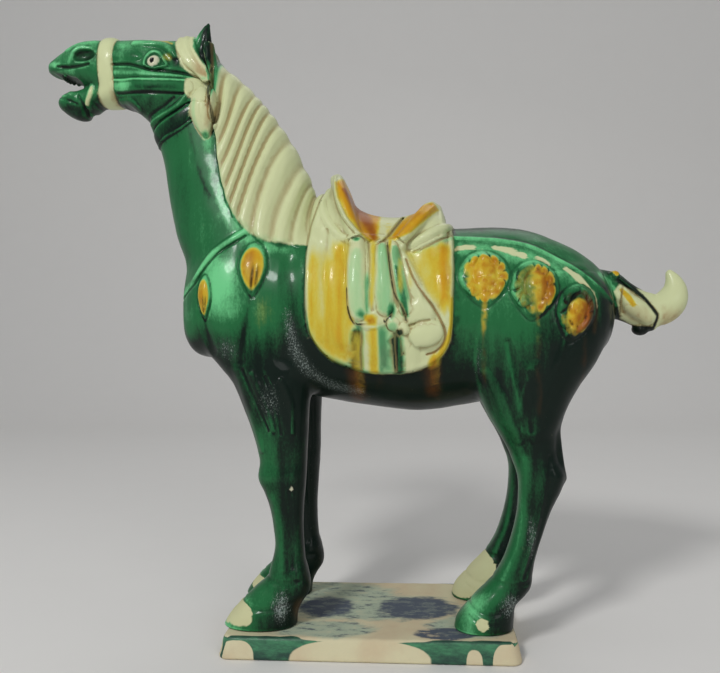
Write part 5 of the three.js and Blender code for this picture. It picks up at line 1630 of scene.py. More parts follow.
@dataclass(frozen=True)
class Drops(Part):
    """Leaf-edged drops with a boss: three on each hip and two on each side of the chest."""

    hips: tuple[Drop, ...] = (Drop(71, 224.5, 14.2, 15, 16.5, 0, 11),
                              Drop(99.5, 217.5, 13.2, 15.5, 17.5, -0.1, 10),
                              Drop(123.5, 203.5, 11, 15, 16.5, -0.25, 9))
    chest: tuple[Drop, ...] = (Drop(-67.8, 234.5, 8.3, 13.5, 17.5), Drop(-98.4, 216.6, 4.4, 12, 13.5))

    def press(self, clay: Clay) -> None:
        """Raises the drops."""
        clay.emboss(*(DropRelief(drop) for drop in self.hips + self.chest))

    def brush(self, coat: Coat) -> None:
        """Amber petals in mint rims, with runs of glaze below."""
        for index, drop in enumerate(self.hips):
            self._hip(coat, drop, index)
        x, z = coat.x, coat.z
        for drop in self.chest:
            q = drop.edge(x, z)
            u, v = drop.local(x, z)
            coat.most(Dose.AMBER, ramp(0.98, 0.7, q) * (0.85 + 0.15 * coat.mottle))
            coat.most(Dose.RUST, 0.45 * ramp(0.9, 0.6, q) * ramp(0.5, -0.1, u))
            for at in (0.1, 0.45):
                coat.most(Dose.LINE, 0.75 * ramp(0.95, 0.7, q) * ramp(0.3, -0.3, v)
                          * np.exp(-((u - at - 0.2 * v) / 0.13) ** 2))
            coat.most(Dose.LINE, 0.45 * np.exp(-((q - 1.12) / 0.07) ** 2) * ramp(-0.2, 0.6, u - 0.5 * v))
            coat.add(Dose.LIGHT, 0.25 * ramp(1.1, 1.0, q) * ramp(0.8, 0.95, q))

    def _hip(self, coat: Coat, drop: Drop, index: int) -> None:
        """Colours one of the hip's drops; each is greener than the one before."""
        q = drop.edge(coat.x, coat.z)
        u, v = drop.local(coat.x, coat.z)
        angle = np.arctan2(u, v)
        inside = ramp(1.04, 0.95, q)
        coat.wipe(Dose.RUST, inside)
        coat.doses[Dose.CREAM] = np.where(q < 1.1, -SLIP_DEPTH, coat.doses[Dose.CREAM])
        turned = angle + 0.14 * np.sin(3 * angle + drop.x) + 0.2 * np.sin(6 * q + 2 * angle)
        lobe = np.abs(np.cos(drop.petals * turned / 2))
        side = u + 0.12 * v + 0.12 * coat.mottle
        gold = (ramp(-0.95, -0.5, side), 0.4 + 0.6 * ramp(-0.2, 0.2, side),
                np.maximum(ramp(0.75, 0.45, np.hypot(u - 0.1, v + 0.1)), 0.45 * ramp(0, -0.5, v)))[index]
        edge = 1.0 - 0.12 * (1 - lobe) + 0.07 * ramp(0, 0.5, u)
        coat.most(Dose.AMBER, inside * gold * (0.85 + 0.2 * coat.mottle) * ramp(edge, edge - 0.15, q))
        coat.most(Dose.RUST, inside * ((0.25 + 0.15 * index) * ramp(-0.3, 0.5, u) + 0.22 * (1 + coat.mottle)
                                       + 0.35 * (index == 2) * ramp(0.4, 0.8, u)) * ramp(1.0, 0.8, q))
        coat.add(Dose.LIGHT, (0.35 * ramp(0.5, -0.4, u) * ramp(1.1, 1.0, q) + 0.2) * ramp(0.8, 0.94, q)
                 * ramp(1.15, 1.05, q) - 0.4 * inside * (index > 0) * ramp(0.0, 0.6, v))
        coat.most(Dose.LINE, 0.3 * np.exp(-((q - 1.12) / 0.06) ** 2) * ramp(-0.6, 0.6, u - v))
        hole = np.exp(-((q - 0.88) / 0.1) ** 2) * ramp(0.4, 0.05, lobe) * ramp(-0.8, 0.2, u + index)
        coat.most(Dose.LINE, (0.9, 0.8, 0.55)[index] * hole * ramp(2.6, 2.2, np.abs(angle)))
        coat.most(Dose.LINE, (0.25 + 0.25 * index) * inside * ramp(-0.2, 0.4, coat.mottle + lobe - 0.8)
                  * np.exp(-((np.hypot(u - 0.06, (v - 0.1) * 0.8) - 0.5) / 0.06) ** 2))
        foot = drop.x - drop.down * math.sin(drop.lean)
        top, bottom = drop.z - drop.down + 3, drop.z - drop.down - (52, 60, 58)[index]
        coat.most(Dose.RUST,
            (0.6, 0.4, 0.5)[index] * coat.run(foot, (1.0, 1.8, 1.2)[index], top + 4, bottom, 2.4))
        coat.most(Dose.AMBER, (0.6, 0.3, 0)[index] * coat.run(foot, 1.6, top + 6, top - 20, 2))
        coat.most(Dose.LINE, 0.35 * coat.run(foot + 2.4, 0.8, top, bottom - 8, 1.6))


@dataclass(frozen=True)
class Tail(Part):
    """The bound dock with its knots and sleeve, and the tip that curls up."""

    dock: Stack = Stack((
        (138, 206, 229, 9), (148, 202, 230, 10.5), (157, 199, 229, 10.5), (166, 195.5, 222, 9.5),
        (174, 191.5, 217, 8.5), (180, 192, 215, 7.5), (185, 197, 212, 4)), power=2)
    tip: Rod = Rod(
        ((176, 0, 203.5, 8), (184, 0, 204.5, 9.8), (190.5, 0, 209.5, 9.6), (193.2, 0, 216, 7.4),
            (192.6, 0, 222, 5.2), (190.6, 0, 226.4, 3.2), (190.2, 0, 227.4, 2.6)), flat=0.9,
        steps=5)

    def press(self, clay: Clay) -> None:
        """Adds the tail."""
        clay.add(self.dock, blend=5)
        clay.add(self.tip, blend=1.6)
        clay.add(Blob((154.8, 6.4, 226), (3.4, 3.6, 3.6)), blend=1.6)
        clay.add(Rod(((152.5, 8.6, 217.5, 3.2), (155.6, 9.8, 213.6, 3.4), (160, 9.6, 212, 2.8))), blend=1)
        clay.add(Rod(((157.4, 7.6, 212.6, 3.6), (165, 8.2, 207.6, 6.0), (174.4, 6.8, 201, 5.6))),
                 blend=1.6)
        clay.add(Rod(((158, 8.8, 224, 0.9), (166, 9.2, 217, 1.0), (172, 8.8, 211, 1.0),
                      (179.2, 8, 201.4, 1.0), (177.6, 6.4, 194, 1.2))), blend=0.8)
        clay.add(Blob((171.5, 0, 192.6), (5, 6.5, 3.8)), blend=1.2)
        clay.emboss(Ridge(((159, 219, 1), (157.6, 211, 1.4), (159, 203, 1.2)), -0.9),
                    Ridge(((146, 226, 1.4), (148, 214, 1.8), (150, 203, 1.4)), -0.7))

    def brush(self, coat: Coat) -> None:
        """Dark base, cream sleeve with an amber touch, cream tip."""
        x, z = coat.x, coat.z
        tail = ramp(146, 150, x)
        coat.add(Dose.LIGHT, -0.5 * ramp(138, 146, x) - 0.5 * tail * ramp(204, 198, z))
        coat.add(Dose.LIGHT,
            1.7 * coat.stroke((143, 226, 5), (150, 221, 7), (153, 213, 7), (157, 208, 5), soft=0.9))
        sleeve = coat.inside((153, 216), (157, 221), (166, 215.6), (172, 209.6), (178.6, 200.4),
            (177.4, 194.4), (167, 195), (158.5, 199.4), (156, 207))
        tip = coat.inside((168, 218.6), (174, 211.8), (180.6, 202), (179, 190), (208, 192),
            (208, 236), (184, 236), (182, 218), (176, 217))
        coat.slip(sleeve + 0.2, 4)
        coat.slip(tip)
        coat.most(Dose.RUST, ramp(0, 3, sleeve) * (0.4 * ramp(214, 204, z) + 0.3 * ramp(0, 1, coat.mottle)))
        coat.most(Dose.AMBER, tail * np.maximum(
            0.85 * coat.stroke((158, 217, 2), (161, 213.4, 2.8), (164, 208, 2.4)),
            coat.spot((155, 228.5), (3.0, 2.6), 0.6)))
        coat.most(Dose.LINE, 0.85 * tail * coat.stroke(
            (158, 225, 1.1), (166, 218, 1.2), (172, 211.6, 1.2), (179.6, 202, 1.5), (178, 193, 2.0)))
        coat.most(Dose.LINE, tail * coat.spot((171.5, 191), (6.5, 3.8), 0.4))
        coat.most(Dose.LINE, 0.7 * tail * np.maximum(
            coat.stroke((159, 218, 1.0), (157, 211, 1.3), (158, 201, 1.2)),
            coat.stroke((158, 199, 1.0), (167, 194.6, 1.1), (176, 194, 1.1))))
        coat.most(Dose.RUST, ramp(0, 4, tip) * (0.55 * ramp(214, 197, z) + 0.2 * ramp(0, 1, coat.mottle)))


def srgb(red: float, green: float, blue: float) -> Colour:
    """A display colour from 0 to 255 as a linear one."""
    def linear(v: float) -> float:
        """One channel."""
        v /= 255
        return v / 12.92 if v <= 0.04045 else ((v + 0.055) / 1.055) ** 2.4
    return linear(red), linear(green), linear(blue), 1.0


class Wire:
    """One value in a material's nodes; its operators add the Math nodes."""

    def __init__(self, tree: "Nodes", socket: Any) -> None:
        """Wraps an output socket of a node tree."""
        self.tree, self.socket = tree, socket

    def _math(self, operation: str, *values: Any) -> "Wire":
        """A Math node on this and other values."""
        return self.tree.node("ShaderNodeMath", {"operation": operation}, dict(enumerate(values)))

    def __add__(self, other: Any) -> "Wire":
        """Sum."""
        return self._math("ADD", self, other)

    __radd__ = __add__

    def __sub__(self, other: Any) -> "Wire":
        """Difference."""
        return self._math("SUBTRACT", self, other)

    def __rsub__(self, other: Any) -> "Wire":
        """Reflected difference."""
        return self._math("SUBTRACT", other, self)

    def __mul__(self, other: Any) -> "Wire":
        """Product."""
        return self._math("MULTIPLY", self, other)

    __rmul__ = __mul__

    def least(self, other: Any) -> "Wire":
        """The lesser of two values."""
        return self._math("MINIMUM", self, other)

    def most(self, other: Any) -> "Wire":
        """The greater of two values."""
        return self._math("MAXIMUM", self, other)

    def step(self, low: float, high: float, bottom: float = 0.0, top: float = 1.0) -> "Wire":
        """A smooth step from bottom at low to top at high."""
        return self.tree.node("ShaderNodeMapRange", {"interpolation_type": "SMOOTHSTEP"},
            {0: self, 1: low, 2: high, 3: bottom, 4: top})


class Nodes:
    """The node tree of one material."""

    def __init__(self, name: str) -> None:
        """Makes the material and its shader."""
        self.material = bpy.data.materials.new(name)
        self.material.use_nodes = True
        self.tree = self.material.node_tree
        self.tree.nodes.clear()
        self.out = self.tree.nodes.new("ShaderNodeOutputMaterial")
        self.shader = self.tree.nodes.new("ShaderNodeBsdfPrincipled")
        self.tree.links.new(self.shader.outputs[0], self.out.inputs["Surface"])

    def node(self, kind: str, settings: dict[str, Any] | None = None,
             inputs: dict[Any, Any] | None = None, output: int | str = 0) -> Wire:
        """Adds a node.

        Args:
            kind: The node's type.
            settings: Its properties.
            inputs: Values or wires for its sockets.
            output: Which output to give back.

        Returns:
            The output as a wire.
        """
        made = self.tree.nodes.new(kind)
        for key, value in (settings or {}).items():
            setattr(made, key, value)
        for key, value in (inputs or {}).items():
            self.set(made.inputs[key], value)
        return Wire(self, made.outputs[output])

    def set(self, socket: Any, value: Any) -> None:
        """Links a wire to a socket, or sets the socket's value."""
        if isinstance(value, Wire):
            self.tree.links.new(value.socket, socket)
        else:
            socket.default_value = value

    def mix(self, share: Any, a: Any, b: Any) -> Wire:
        """A colour between a and b."""
        settings = {"data_type": "RGBA", "blend_type": "MIX", "clamp_factor": True}
        return self.node("ShaderNodeMix", settings, {0: share, 6: a, 7: b}, 2)

    def dose(self, dose: Dose) -> Wire:
        """A brushed dose of the mesh."""
        return self.node("ShaderNodeAttribute", {"attribute_name": dose.value}, {}, 2)

    def place(self, scale: Point3) -> Wire:
        """The place on the object in millimetres, times a scale."""
        at = self.node("ShaderNodeTexCoord", {}, {}, "Object")
        return self.node("ShaderNodeVectorMath", {"operation": "MULTIPLY"},
            {0: at, 1: tuple(s / MM for s in scale)})

    def noise(self, scale: Point3, detail: float = 3.0, rough: float = 0.55) -> Wire:
        """Noise from 0 to 1 with the given cycles a millimetre."""
        return self.node("ShaderNodeTexNoise", {"noise_dimensions": "3D"},
            {"Vector": self.place(scale), "Scale": 1.0, "Detail": detail, "Roughness": rough}, 0)

    def surface(self, colour: Wire, rough: Wire, coat: Wire, coat_rough: float) -> None:
        """Sets the shader's colour and gloss, and those of the clear layer over it."""
        self.set(self.shader.inputs["Base Color"], colour)
        self.set(self.shader.inputs["Roughness"], rough)
        self.set(self.shader.inputs["Coat Weight"], coat)
        self.shader.inputs["Coat Roughness"].default_value = coat_rough

    def bump(self, height: Wire, strength: float, depth: float) -> None:
        """Roughens the shader's surface by a height, with its depth in millimetres."""
        self.set(self.shader.inputs["Normal"], self.node("ShaderNodeBump", {}, {
            "Strength": strength, "Distance": depth * MM, "Height": height}))


@dataclass(frozen=True)
class Glazes:
    """Lead glazes over cream slip: their colours and gloss."""

    green: Colour = srgb(36, 104, 60)
    # mint: thin pale glaze, and the colour of painted light
    mint: Colour = srgb(112, 204, 138)
    # deep: thick dark glaze, and the colour of painted shade
    deep: Colour = srgb(9, 26, 19)
    # ink: dark glaze lines, and painted shade in the nostril and the mouth
    ink: Colour = srgb(12, 20, 16)
    cream: Colour = srgb(206, 212, 164)
    shade: Colour = srgb(150, 132, 86)
    amber: Colour = srgb(202, 148, 24)
    rust: Colour = srgb(148, 82, 22)
    yellow: Colour = srgb(206, 190, 62)
    bare: Colour = srgb(206, 200, 158)
    grey: Colour = srgb(168, 180, 174)
    eye: Colour = srgb(206, 204, 176)
    black: Colour = srgb(6, 6, 6)
    gloss: float = 0.3
    dullest: float = 0.8
    bending: float = 1.36
    shine: float = 0.2
    coat: float = 0.15
    coat_rough: float = 0.09
    bump: float = 0.12
    bump_depth: float = 0.4

    def material(self) -> bpy.types.Material:
        """The glazed finish of the horse.

        Returns:
            The material.
        """
        n = Nodes("lead glazes on slip")
        cloud = n.noise((0.045, 0.045, 0.03), 4)
        runs = n.noise((0.22, 0.22, 0.022), 3)
        fine = n.noise((0.9, 0.9, 0.5), 2)
        waver = (runs - 0.5) * 1.6 + (fine - 0.5) * 0.5
        pool = n.dose(Dose.POOL)
        # tone takes in the light dose, with its painted shade and painted light
        tone = (n.dose(Dose.LIGHT) + (cloud - 0.5) * 0.9 + (runs - 0.5) * 0.9 + (fine - 0.5) * 0.6
                + (pool * -1).step(0.05, 0.7) * 0.35 - pool.step(0.05, 0.7) * 0.5)
        green = n.mix(tone.step(-1.15, -0.05), self.deep, self.green)
        green = n.mix(tone.step(0.0, 1.15), green, self.mint)
        cream = n.mix(pool.step(0.08, 0.8) * 0.7 + (cloud - 0.5) * 0.3, self.cream, self.shade)
        wash = n.dose(Dose.WASH)
        tint = n.mix(wash.step(0.3, 0.95), self.mint, green)
        cream = n.mix((wash + waver * 0.12).step(0.08, 0.8), cream, tint)
        edge = (n.dose(Dose.CREAM) + waver * 0.9).step(-0.5, 0.9)
        colour = n.mix(edge, green, cream)
        amber, rust = n.dose(Dose.AMBER), n.dose(Dose.RUST)
        honey = n.mix((amber + waver * 0.34).step(0.48, 1.12), self.yellow, self.amber)
        honey = n.mix((rust + waver * 0.22).step(0.1, 0.95), honey, self.rust)
        rusty = (rust + waver * 0.2).step(0.12, 1.0)
        colour = n.mix(rusty * 0.8, colour, n.mix(edge, n.mix(0.6, self.rust, self.deep), self.rust))
        colour = n.mix((amber + waver * 0.22).step(0.12, 0.72), colour, honey)
        # the line dose is dark glaze lines, and painted shade in the nostril and the mouth
        line = n.dose(Dose.LINE)
        dark = n.mix(edge, self.ink, n.mix(line.step(0.5, 0.9), self.shade, self.ink))
        colour = n.mix((line + waver * 0.1).step(0.05, 0.9) * 0.92, colour, dark)
        speck = n.noise((1.3, 1.3, 0.8), 4, 0.75)
        grey = (n.dose(Dose.GREY) * 0.3 + speck - 0.5).step(0.2, 0.34)
        veil = (n.dose(Dose.GREY) + (cloud - 0.5)).step(0.2, 1.0)
        colour = n.mix(grey * 0.6 + veil * 0.07, colour, self.grey)
        white, black = n.dose(Dose.WHITE), n.dose(Dose.BLACK)
        colour = n.mix(white.step(0.2, 0.8), colour, self.eye)
        colour = n.mix(black.step(0.2, 0.8), colour, self.black)
        bare = (n.dose(Dose.BARE) + waver * 0.06).step(0.3, 0.7)
        colour = n.mix(bare, colour, n.mix(cloud, self.bare, self.cream))
        rough = bare * 0.45 + grey * 0.35 + veil * 0.12 + fine * 0.08 + line * 0.2 + self.gloss
        n.surface(colour, rough.least(self.dullest),
            (1 - bare) * (1 - grey) * (1 - veil) * self.coat, self.coat_rough)
        n.shader.inputs["IOR"].default_value = self.bending
        n.shader.inputs["Specular IOR Level"].default_value = self.shine
        n.bump(cloud * 0.6 + runs * 0.6 + fine * 0.15, self.bump, self.bump_depth)
        return n.material


@dataclass(frozen=True)
class Clayware:
    """Unglazed buff clay with green runs and grey kiln residue."""

    buff: Colour = srgb(214, 206, 170)
    warm: Colour = srgb(206, 188, 154)
    green: Colour = srgb(70, 142, 98)
    dark: Colour = srgb(24, 62, 50)
    slate: Colour = srgb(72, 82, 96)
    ash: Colour = srgb(172, 186, 162)
    dry: float = 0.85
    coat: float = 0.05
    coat_rough: float = 0.06
    bump: float = 0.4
    bump_depth: float = 0.35

    def material(self) -> bpy.types.Material:
        """The finish of the plinth.

        Returns:
            The material.
        """
        n = Nodes("buff clay with spilt glaze")
        cloud = n.noise((0.03, 0.03, 0.03), 4)
        grain = n.noise((1.1, 1.1, 1.1), 3, 0.7)
        smear = n.noise((0.1, 0.22, 0.25), 5, 0.7)
        waver = (n.noise((0.09, 0.16, 0.12), 5, 0.65) - 0.5) * 6.0
        colour = n.mix(cloud.step(0.35, 0.7), self.buff, self.warm)
        colour = n.mix((grain - 0.5).most(0) * 0.5, colour, self.ash)
        veil = (n.dose(Dose.GREY) * 4 + waver).step(-1.0, 2.0)
        colour = n.mix(veil * smear.step(0.15, 0.5) * 0.95, colour, self.ash)
        colour = n.mix(veil * smear.step(0.5, 0.66) * 0.85, colour, self.slate)
        blot = (n.dose(Dose.POOL) * 4 + waver).step(-0.5, 1.6)
        colour = n.mix(blot * (1 - smear.step(0.5, 0.64) * 0.7), colour, self.slate)
        run = (n.dose(Dose.WASH) * 5 + waver * 0.3).step(-0.3, 0.8)
        glaze = n.mix((smear + n.dose(Dose.LIGHT)).step(0.3, 0.9), self.dark, self.green)
        colour = n.mix(run, colour, glaze)
        n.surface(colour, self.dry - run * 0.35 - blot * 0.1, run * self.coat, self.coat_rough)
        n.bump(grain * (1 - run) + cloud + blot * 0.3, self.bump, self.bump_depth)
        return n.material


def mesh_object(name: str, points: Array, faces: Array) -> bpy.types.Object:
    """A mesh object from points in millimetres.

    Args:
        name: The object's name.
        points: The points.
        faces: Faces of equal length.

    Returns:
        The object, in the scene.
    """
    mesh = bpy.data.meshes.new(name)
    mesh.from_pydata(points * MM, [], faces)
    made = bpy.data.objects.new(name, mesh)
    bpy.context.scene.collection.objects.link(made)
    return made


def thinned(piece: bpy.types.Object, faces: int) -> None:
    """Brings a mesh under a count of triangles, keeping its shape."""
    triangles = sum(len(p.vertices) - 2 for p in piece.data.polygons)
    if triangles <= faces:
        return
    modifier = piece.modifiers.new("thin", "DECIMATE")
    modifier.ratio = faces / triangles
    graph = bpy.context.evaluated_depsgraph_get()
    mesh = bpy.data.meshes.new_from_object(piece.evaluated_get(graph), depsgraph=graph)
    piece.modifiers.clear()
    piece.data = mesh
    mesh.name = piece.name


def points_of(mesh: bpy.types.Mesh) -> Array:
    """A mesh's points in millimetres."""
    flat = np.empty(len(mesh.vertices) * 3, np.float32)
    mesh.vertices.foreach_get("co", flat)
    return flat.reshape(-1, 3).astype(float) / MM


@dataclass
class Horse:
    """The casting as a whole."""

    name: str = "glazed_horse"
    cell: float = 0.8
    faces: int = 196000
    margin: float = 8.0
    waves: tuple[Point2, ...] = ((0.22, 14), (0.1, 5))
    parts: tuple[Part, ...] = field(default_factory=lambda: (
        Flesh(), Head(), Tail(), Bridle(), Mane(), Saddle(), Cloths(), Straps(), Drops()))
    glazes: Glazes = field(default_factory=Glazes)

    def build(self) -> bpy.types.Object:
        """Presses every part, meshes the skin and brushes it.

        Returns:
            The finished piece.
        """
        clay = WornClay(self.waves, SOLE)
        for part in self.parts:
            part.press(clay)
        cell = self.cell
        low, high = (np.array(v) / MM for v in CAD_BOX)
        grid = Skin(clay, low - self.margin, high + self.margin, cell)
        points, faces = grid.mesh()
        LOG.info("%s: skin of %d faces", self.name, len(faces))
        piece = mesh_object(self.name, points, faces)
        thinned(piece, self.faces)
        LOG.info("%s: thinned to %d faces", self.name, len(piece.data.polygons))
        return self.dress(clay, piece)

    def dress(self, clay: Clay, piece: bpy.types.Object) -> bpy.types.Object:
        """Settles the mesh on the clay, brushes the glazes and sets the finish."""
        mesh = piece.data
        points = settled(clay, points_of(mesh))
        mesh.vertices.foreach_set("co", (points * MM).astype(np.float32).ravel())
        coat = Coat(clay, points)
        coat.doses[Dose.CREAM] -= SLIP_DEPTH
        for part in self.parts:
            part.brush(coat)
        coat.add(Dose.POOL, np.clip(-1.1 * coat.curve, -1, 1))
        finish(piece, coat, self.glazes.material())
        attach(piece, "root")
        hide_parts("horse")
        return piece


def finish(piece: bpy.types.Object, coat: Coat, material: bpy.types.Material) -> None:
    """Writes a coat's doses and normals onto the mesh and gives it its material."""
    mesh = piece.data
    for dose, amount in coat.doses.items():
        attribute = mesh.attributes.new(dose.value, "FLOAT", "POINT")
        attribute.data.foreach_set("value", np.ascontiguousarray(amount, np.float32))
    mesh.polygons.foreach_set("use_smooth", np.ones(len(mesh.polygons), bool))
    mesh.update()
    mesh.normals_split_custom_set_from_vertices(coat.normal)
    mesh.materials.clear()
    mesh.materials.append(material)


def value_noise(points: Array, spacing: float, seed: int) -> Array:
    """Smooth random values from -1 to 1 on a lattice.

    Args:
        points: Where they are wanted.
        spacing: The lattice's spacing.
        seed: Picks the lattice.

    Returns:
        One value a point.
    """
    lattice = np.random.default_rng(seed).uniform(-1, 1, (32, 32, 32))
    at = points / spacing
    base = np.floor(at).astype(int)
    part = ramp(0, 1, at - base)
    total = np.zeros(len(points))
    for corner in Skin.CORNERS:
        i, j, k = ((base + corner) % 32).T
        share = np.prod(np.where(corner, part, 1 - part), axis=1)
        total += lattice[i, j, k] * share
    return total


@dataclass(frozen=True)
class Slab(Form):
    """The plinth: a slab with drafted, worn sides on rounded corners."""

    length: float = 180.0
    width: float = 113.0
    thick: float = 13.0
    draft: float = 3.0
    corner: float = 7.0
    worn: float = 1.8

    @property
    def box(self) -> tuple[Array, Array]:
        """The slab's box."""
        half = self.length / 2
        return np.array([-half, 0, 0]), np.array([half, self.width / 2, self.thick])

    def distance(self, p: Array) -> Array:
        """Distances to the worn slab."""
        inset = self.draft * np.clip(p[:, 2] / self.thick, 0, 1)
        along = np.abs(p[:, 0]) - (self.length / 2 - inset - self.corner)
        across = np.abs(p[:, 1]) - (self.width / 2 - inset - self.corner)
        side = rounded(along, across, self.corner)
        level = np.abs(p[:, 2] - self.thick / 2) - self.thick / 2
        return rounded(side + self.worn, level + self.worn, self.worn)


class WornClay(Clay):
    """A lump whose skin is uneven from hand finishing and wear."""

    FIRST_SEED = 5

    def __init__(self, waves: tuple[Point2, ...], flat_at: float = 0.0) -> None:
        """Sets the unevenness.

        Args:
            waves: Height and spacing of each wave.
            flat_at: The level that stays flat.
        """
        super().__init__()
        self.waves, self.flat_at = waves, flat_at

    def distance(self, points: Array) -> Array:
        """Distances to the uneven skin."""
        smooth = super().distance(points)
        near = np.flatnonzero(np.abs(smooth) < SKIN_ZONE)
        at = points[near]
        rough = sum(height * value_noise(at + LATTICE_SHIFT, spacing, self.FIRST_SEED + k)
                    for k, (height, spacing) in enumerate(self.waves))
        smooth[near] += (rough * ramp(0.5, 4.0, np.abs(at[:, 2] - self.flat_at))).astype(np.float32)
        return smooth


@dataclass
class Plinth:
    """The unglazed slab that the horse stands on."""

    name: str = "clay_plinth"
    slab: Slab = field(default_factory=Slab)
    cell: float = 1.2
    faces: int = 90000
    margin: float = 6.0
    waves: tuple[Point2, ...] = ((0.3, 17), (0.14, 5))
    clayware: Clayware = field(default_factory=Clayware)
    blotches: tuple[Point4, ...] = (
        (-32, 1, 20, 20), (28, 1, 27, 23), (46, -42, 20, 10), (-60, 34, 14, 10), (70, 30, 12, 14))
    veils: tuple[Point4, ...] = (
        (-30, 28, 46, 24), (-30, -38, 34, 14), (-2, 2, 60, 26), (-66, -10, 18, 34), (60, -30, 26, 20),
        (70, 34, 16, 16))
    long_arches: tuple[Point3, ...] = ((-78, 10.5, 11), (-4.5, 41.5, 12.4), (62, 4.6, 8.5),
                                       (82, 9.5, 12.4))
    short_arches: tuple[Point3, ...] = ((4, 30, 12.2), (-48, 9, 11), (45, 8, 10))

    def build(self) -> bpy.types.Object:
        """Meshes the worn slab and spills glaze on it.

        Returns:
            The finished piece.
        """
        clay = WornClay(self.waves)
        clay.add(self.slab)
        _, high = self.slab.box
        low = high * (-1, -1, 0)
        grid = Skin(clay, low - self.margin, high + self.margin, self.cell)
        piece = mesh_object(self.name, *grid.mesh())
        thinned(piece, self.faces)
        points = settled(clay, points_of(piece.data))
        points[:, 2] = np.maximum(points[:, 2], 0)
        piece.data.vertices.foreach_set("co", (points * MM).astype(np.float32).ravel())
        coat = Coat(clay, points)
        self.spill(coat)
        finish(piece, coat, self.clayware.material())
        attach(piece, "root")
        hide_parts("plinth")
        LOG.info("%s: %d faces", self.name, len(piece.data.polygons))
        return piece

    @staticmethod
    def _ovals(x: Array, y: Array, ovals: Iterable[Sequence[float]]) -> Array:
        """How far inside the nearest oval each place lies, from 1 to -1."""
        inside = [1 - np.hypot((x - cx) / rx, (y - cy) / ry) for cx, cy, rx, ry in ovals]
        return np.clip(greatest(inside) * 2, -1, 1)

    @staticmethod
    def _arches(along: Array, z: Array, arches: Iterable[Point3]) -> Array:
        """How far outside the bare arches each place on a side lies, from 1 to -1."""
        depth = [(1 - (np.abs((along - at) / half) ** 2.6 + (np.abs(z) / top) ** 2.6) ** (1 / 2.6))
                 * min(half, top) for at, half, top in arches]
        return np.clip(-greatest(depth) / 2, -1, 1)

    def spill(self, coat: Coat) -> None:
        """Grey blotches on top, green runs over the sides."""
        x, y, z, s = coat.x, coat.y, coat.z, self.slab
        top = ramp(0.45, 0.8, coat.normal[:, 2])
        for dose, ovals in ((Dose.POOL, self.blotches), (Dose.GREY, self.veils)):
            coat.doses[dose] = self._ovals(x, y, ovals) * top - (1 - top)
        long_side = np.abs(y) / s.width > np.abs(x) / s.length
        way = np.where(y < 0, 1, -1)
        side = np.where(long_side, self._arches(x * way, z, self.long_arches),
            self._arches(y * np.where(x < 0, -1, 1), z, self.short_arches))
        rim = (np.abs(y) - (s.width / 2 - s.draft - 2.2)) / 3 + 0.3 * value_noise(coat.place, 7, 31)
        shore = np.maximum(ramp(-30, -46, x * way) * ramp(-90, -80, x * way),
            ramp(24, 44, x * way) * ramp(90, 82, x * way))
        band = np.clip(rim - 1.2 * (1 - shore), -1, 1)
        coat.doses[Dose.WASH] = np.where(coat.normal[:, 2] > 0.6, band, side) - (z < 0.4)
        coat.add(Dose.LIGHT, 0.3 * ramp(0, s.thick, z) - 0.12 - 0.3 * ramp(s.thick - 2, s.thick, z))


@dataclass(frozen=True)
class Camera:
    """The view of the photograph, in millimetres and pixels."""

    place: Point3 = (39.7, -508.4, 190.5)
    yaw: float = 0.091
    roll: float = -0.014
    focal: float = 780.0
    image_width: float = 720.0
    sensor: float = 36.0

    def build(self) -> bpy.types.Object:
        """Makes the scene's camera.

        Returns:
            The camera object.
        """
        data = bpy.data.cameras.new("camera")
        data.sensor_width = self.sensor
        data.lens = self.focal * self.sensor / self.image_width
        data.clip_start, data.clip_end = 0.01, 20
        ahead = Vector((-math.sin(self.yaw), math.cos(self.yaw), 0))
        level, up = Vector((math.cos(self.yaw), math.sin(self.yaw), 0)), Vector((0, 0, 1))
        right = level * math.cos(self.roll) + up * math.sin(self.roll)
        upward = up * math.cos(self.roll) - level * math.sin(self.roll)
        turn = Matrix((right, upward, -ahead)).transposed().to_4x4()
        made = bpy.data.objects.new("camera", data)
        made.matrix_world = Matrix.Translation(Vector(self.place) * MM) @ turn
        bpy.context.scene.collection.objects.link(made)
        bpy.context.scene.camera = made
        return made


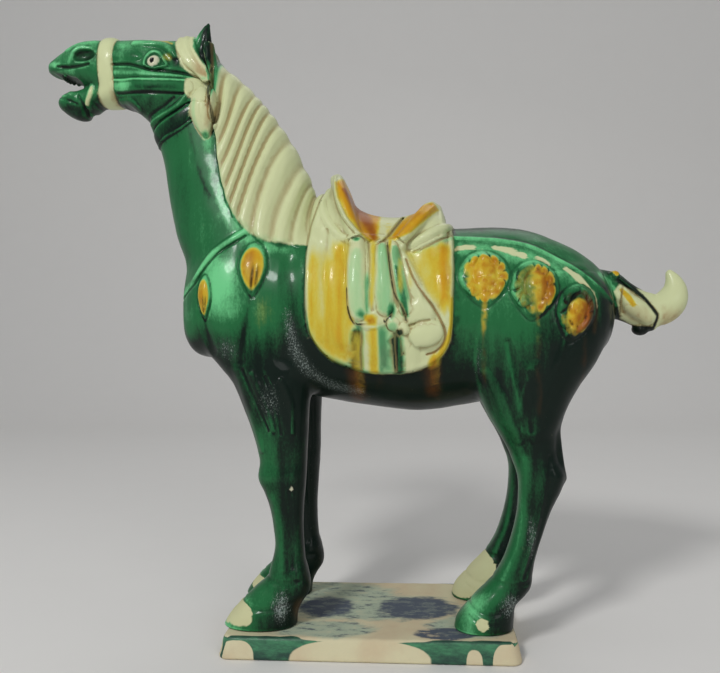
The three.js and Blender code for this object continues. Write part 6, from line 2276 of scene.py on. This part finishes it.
@dataclass(frozen=True)
class Studio:
    """A pale floor that curves up behind, and soft lights."""

    floor_colour: Colour = srgb(238, 236, 232)
    floor_shade: Colour = srgb(214, 212, 208)
    air: Colour = srgb(204, 206, 210)
    air_strength: float = 0.5
    front: float = -1.6
    back: float = 1.1
    curve: float = 0.7
    top: float = 2.6
    half_width: float = 2.6
    lights: tuple[tuple[str, Point3, float, float], ...] = (
        ("key", (-0.62, -1.35, 1.3), 0.36, 15.0),
        ("fill", (0.9, -1.5, 0.8), 0.8, 4.0),
        ("rim", (0.3, 1.0, 1.5), 0.9, 2.0))

    def build(self) -> None:
        """Makes the floor, the air light and the lamps."""
        bend = [(self.back + self.curve * math.sin(a), self.curve - self.curve * math.cos(a))
                for a in np.linspace(0.1, math.pi / 2, 12)]
        profile = [(self.front, 0.0), (self.back, 0.0), *bend, (self.back + self.curve, self.top)]
        points = [(x, y, z) for x in (-self.half_width, self.half_width) for y, z in profile]
        count = len(profile)
        mesh = bpy.data.meshes.new("studio_floor")
        mesh.from_pydata(points, [], [(k, k + count, k + 1 + count, k + 1) for k in range(count - 1)])
        floor = bpy.data.objects.new("studio_floor", mesh)
        bpy.context.scene.collection.objects.link(floor)
        mesh.polygons.foreach_set("use_smooth", [True] * len(mesh.polygons))
        n = Nodes("pale floor")
        grain = n.noise((0.02, 0.02, 0.02), 2)
        n.set(n.shader.inputs["Base Color"], n.mix(grain * 0.08, self.floor_colour, self.floor_shade))
        n.shader.inputs["Roughness"].default_value = 0.7
        mesh.materials.append(n.material)
        self._light()

    def _light(self) -> None:
        """Makes the air light and the lamps."""
        world = bpy.data.worlds.new("air")
        bpy.context.scene.world = world
        world.use_nodes = True
        back = world.node_tree.nodes["Background"]
        back.inputs["Color"].default_value = self.air
        back.inputs["Strength"].default_value = self.air_strength
        for name, place, size, power in self.lights:
            lamp = bpy.data.lights.new(name, "AREA")
            lamp.shape, lamp.size, lamp.energy = "DISK", size, power
            made = bpy.data.objects.new(name, lamp)
            made.location = place
            aim = Vector((0, 0, 0.2)) - Vector(place)
            made.rotation_euler = aim.to_track_quat("-Z", "Y").to_euler()
            bpy.context.scene.collection.objects.link(made)


def corners(box: Iterable[Iterable[float]]) -> list[list[float]]:
    """A box as plain lists of numbers."""
    return [[float(v) for v in corner] for corner in box]


def main() -> None:
    """Builds the horse, its plinth and the studio."""
    logging.basicConfig(level=logging.INFO, format="%(relativeCreated)d ms %(message)s")
    bpy.context.scene.view_settings.view_transform = "Standard"
    Camera().build()
    Studio().build()
    for item in (Plinth(), Horse()):
        LOG.info("%s is done", item.build().name)


if __name__ == "__main__":
    main()
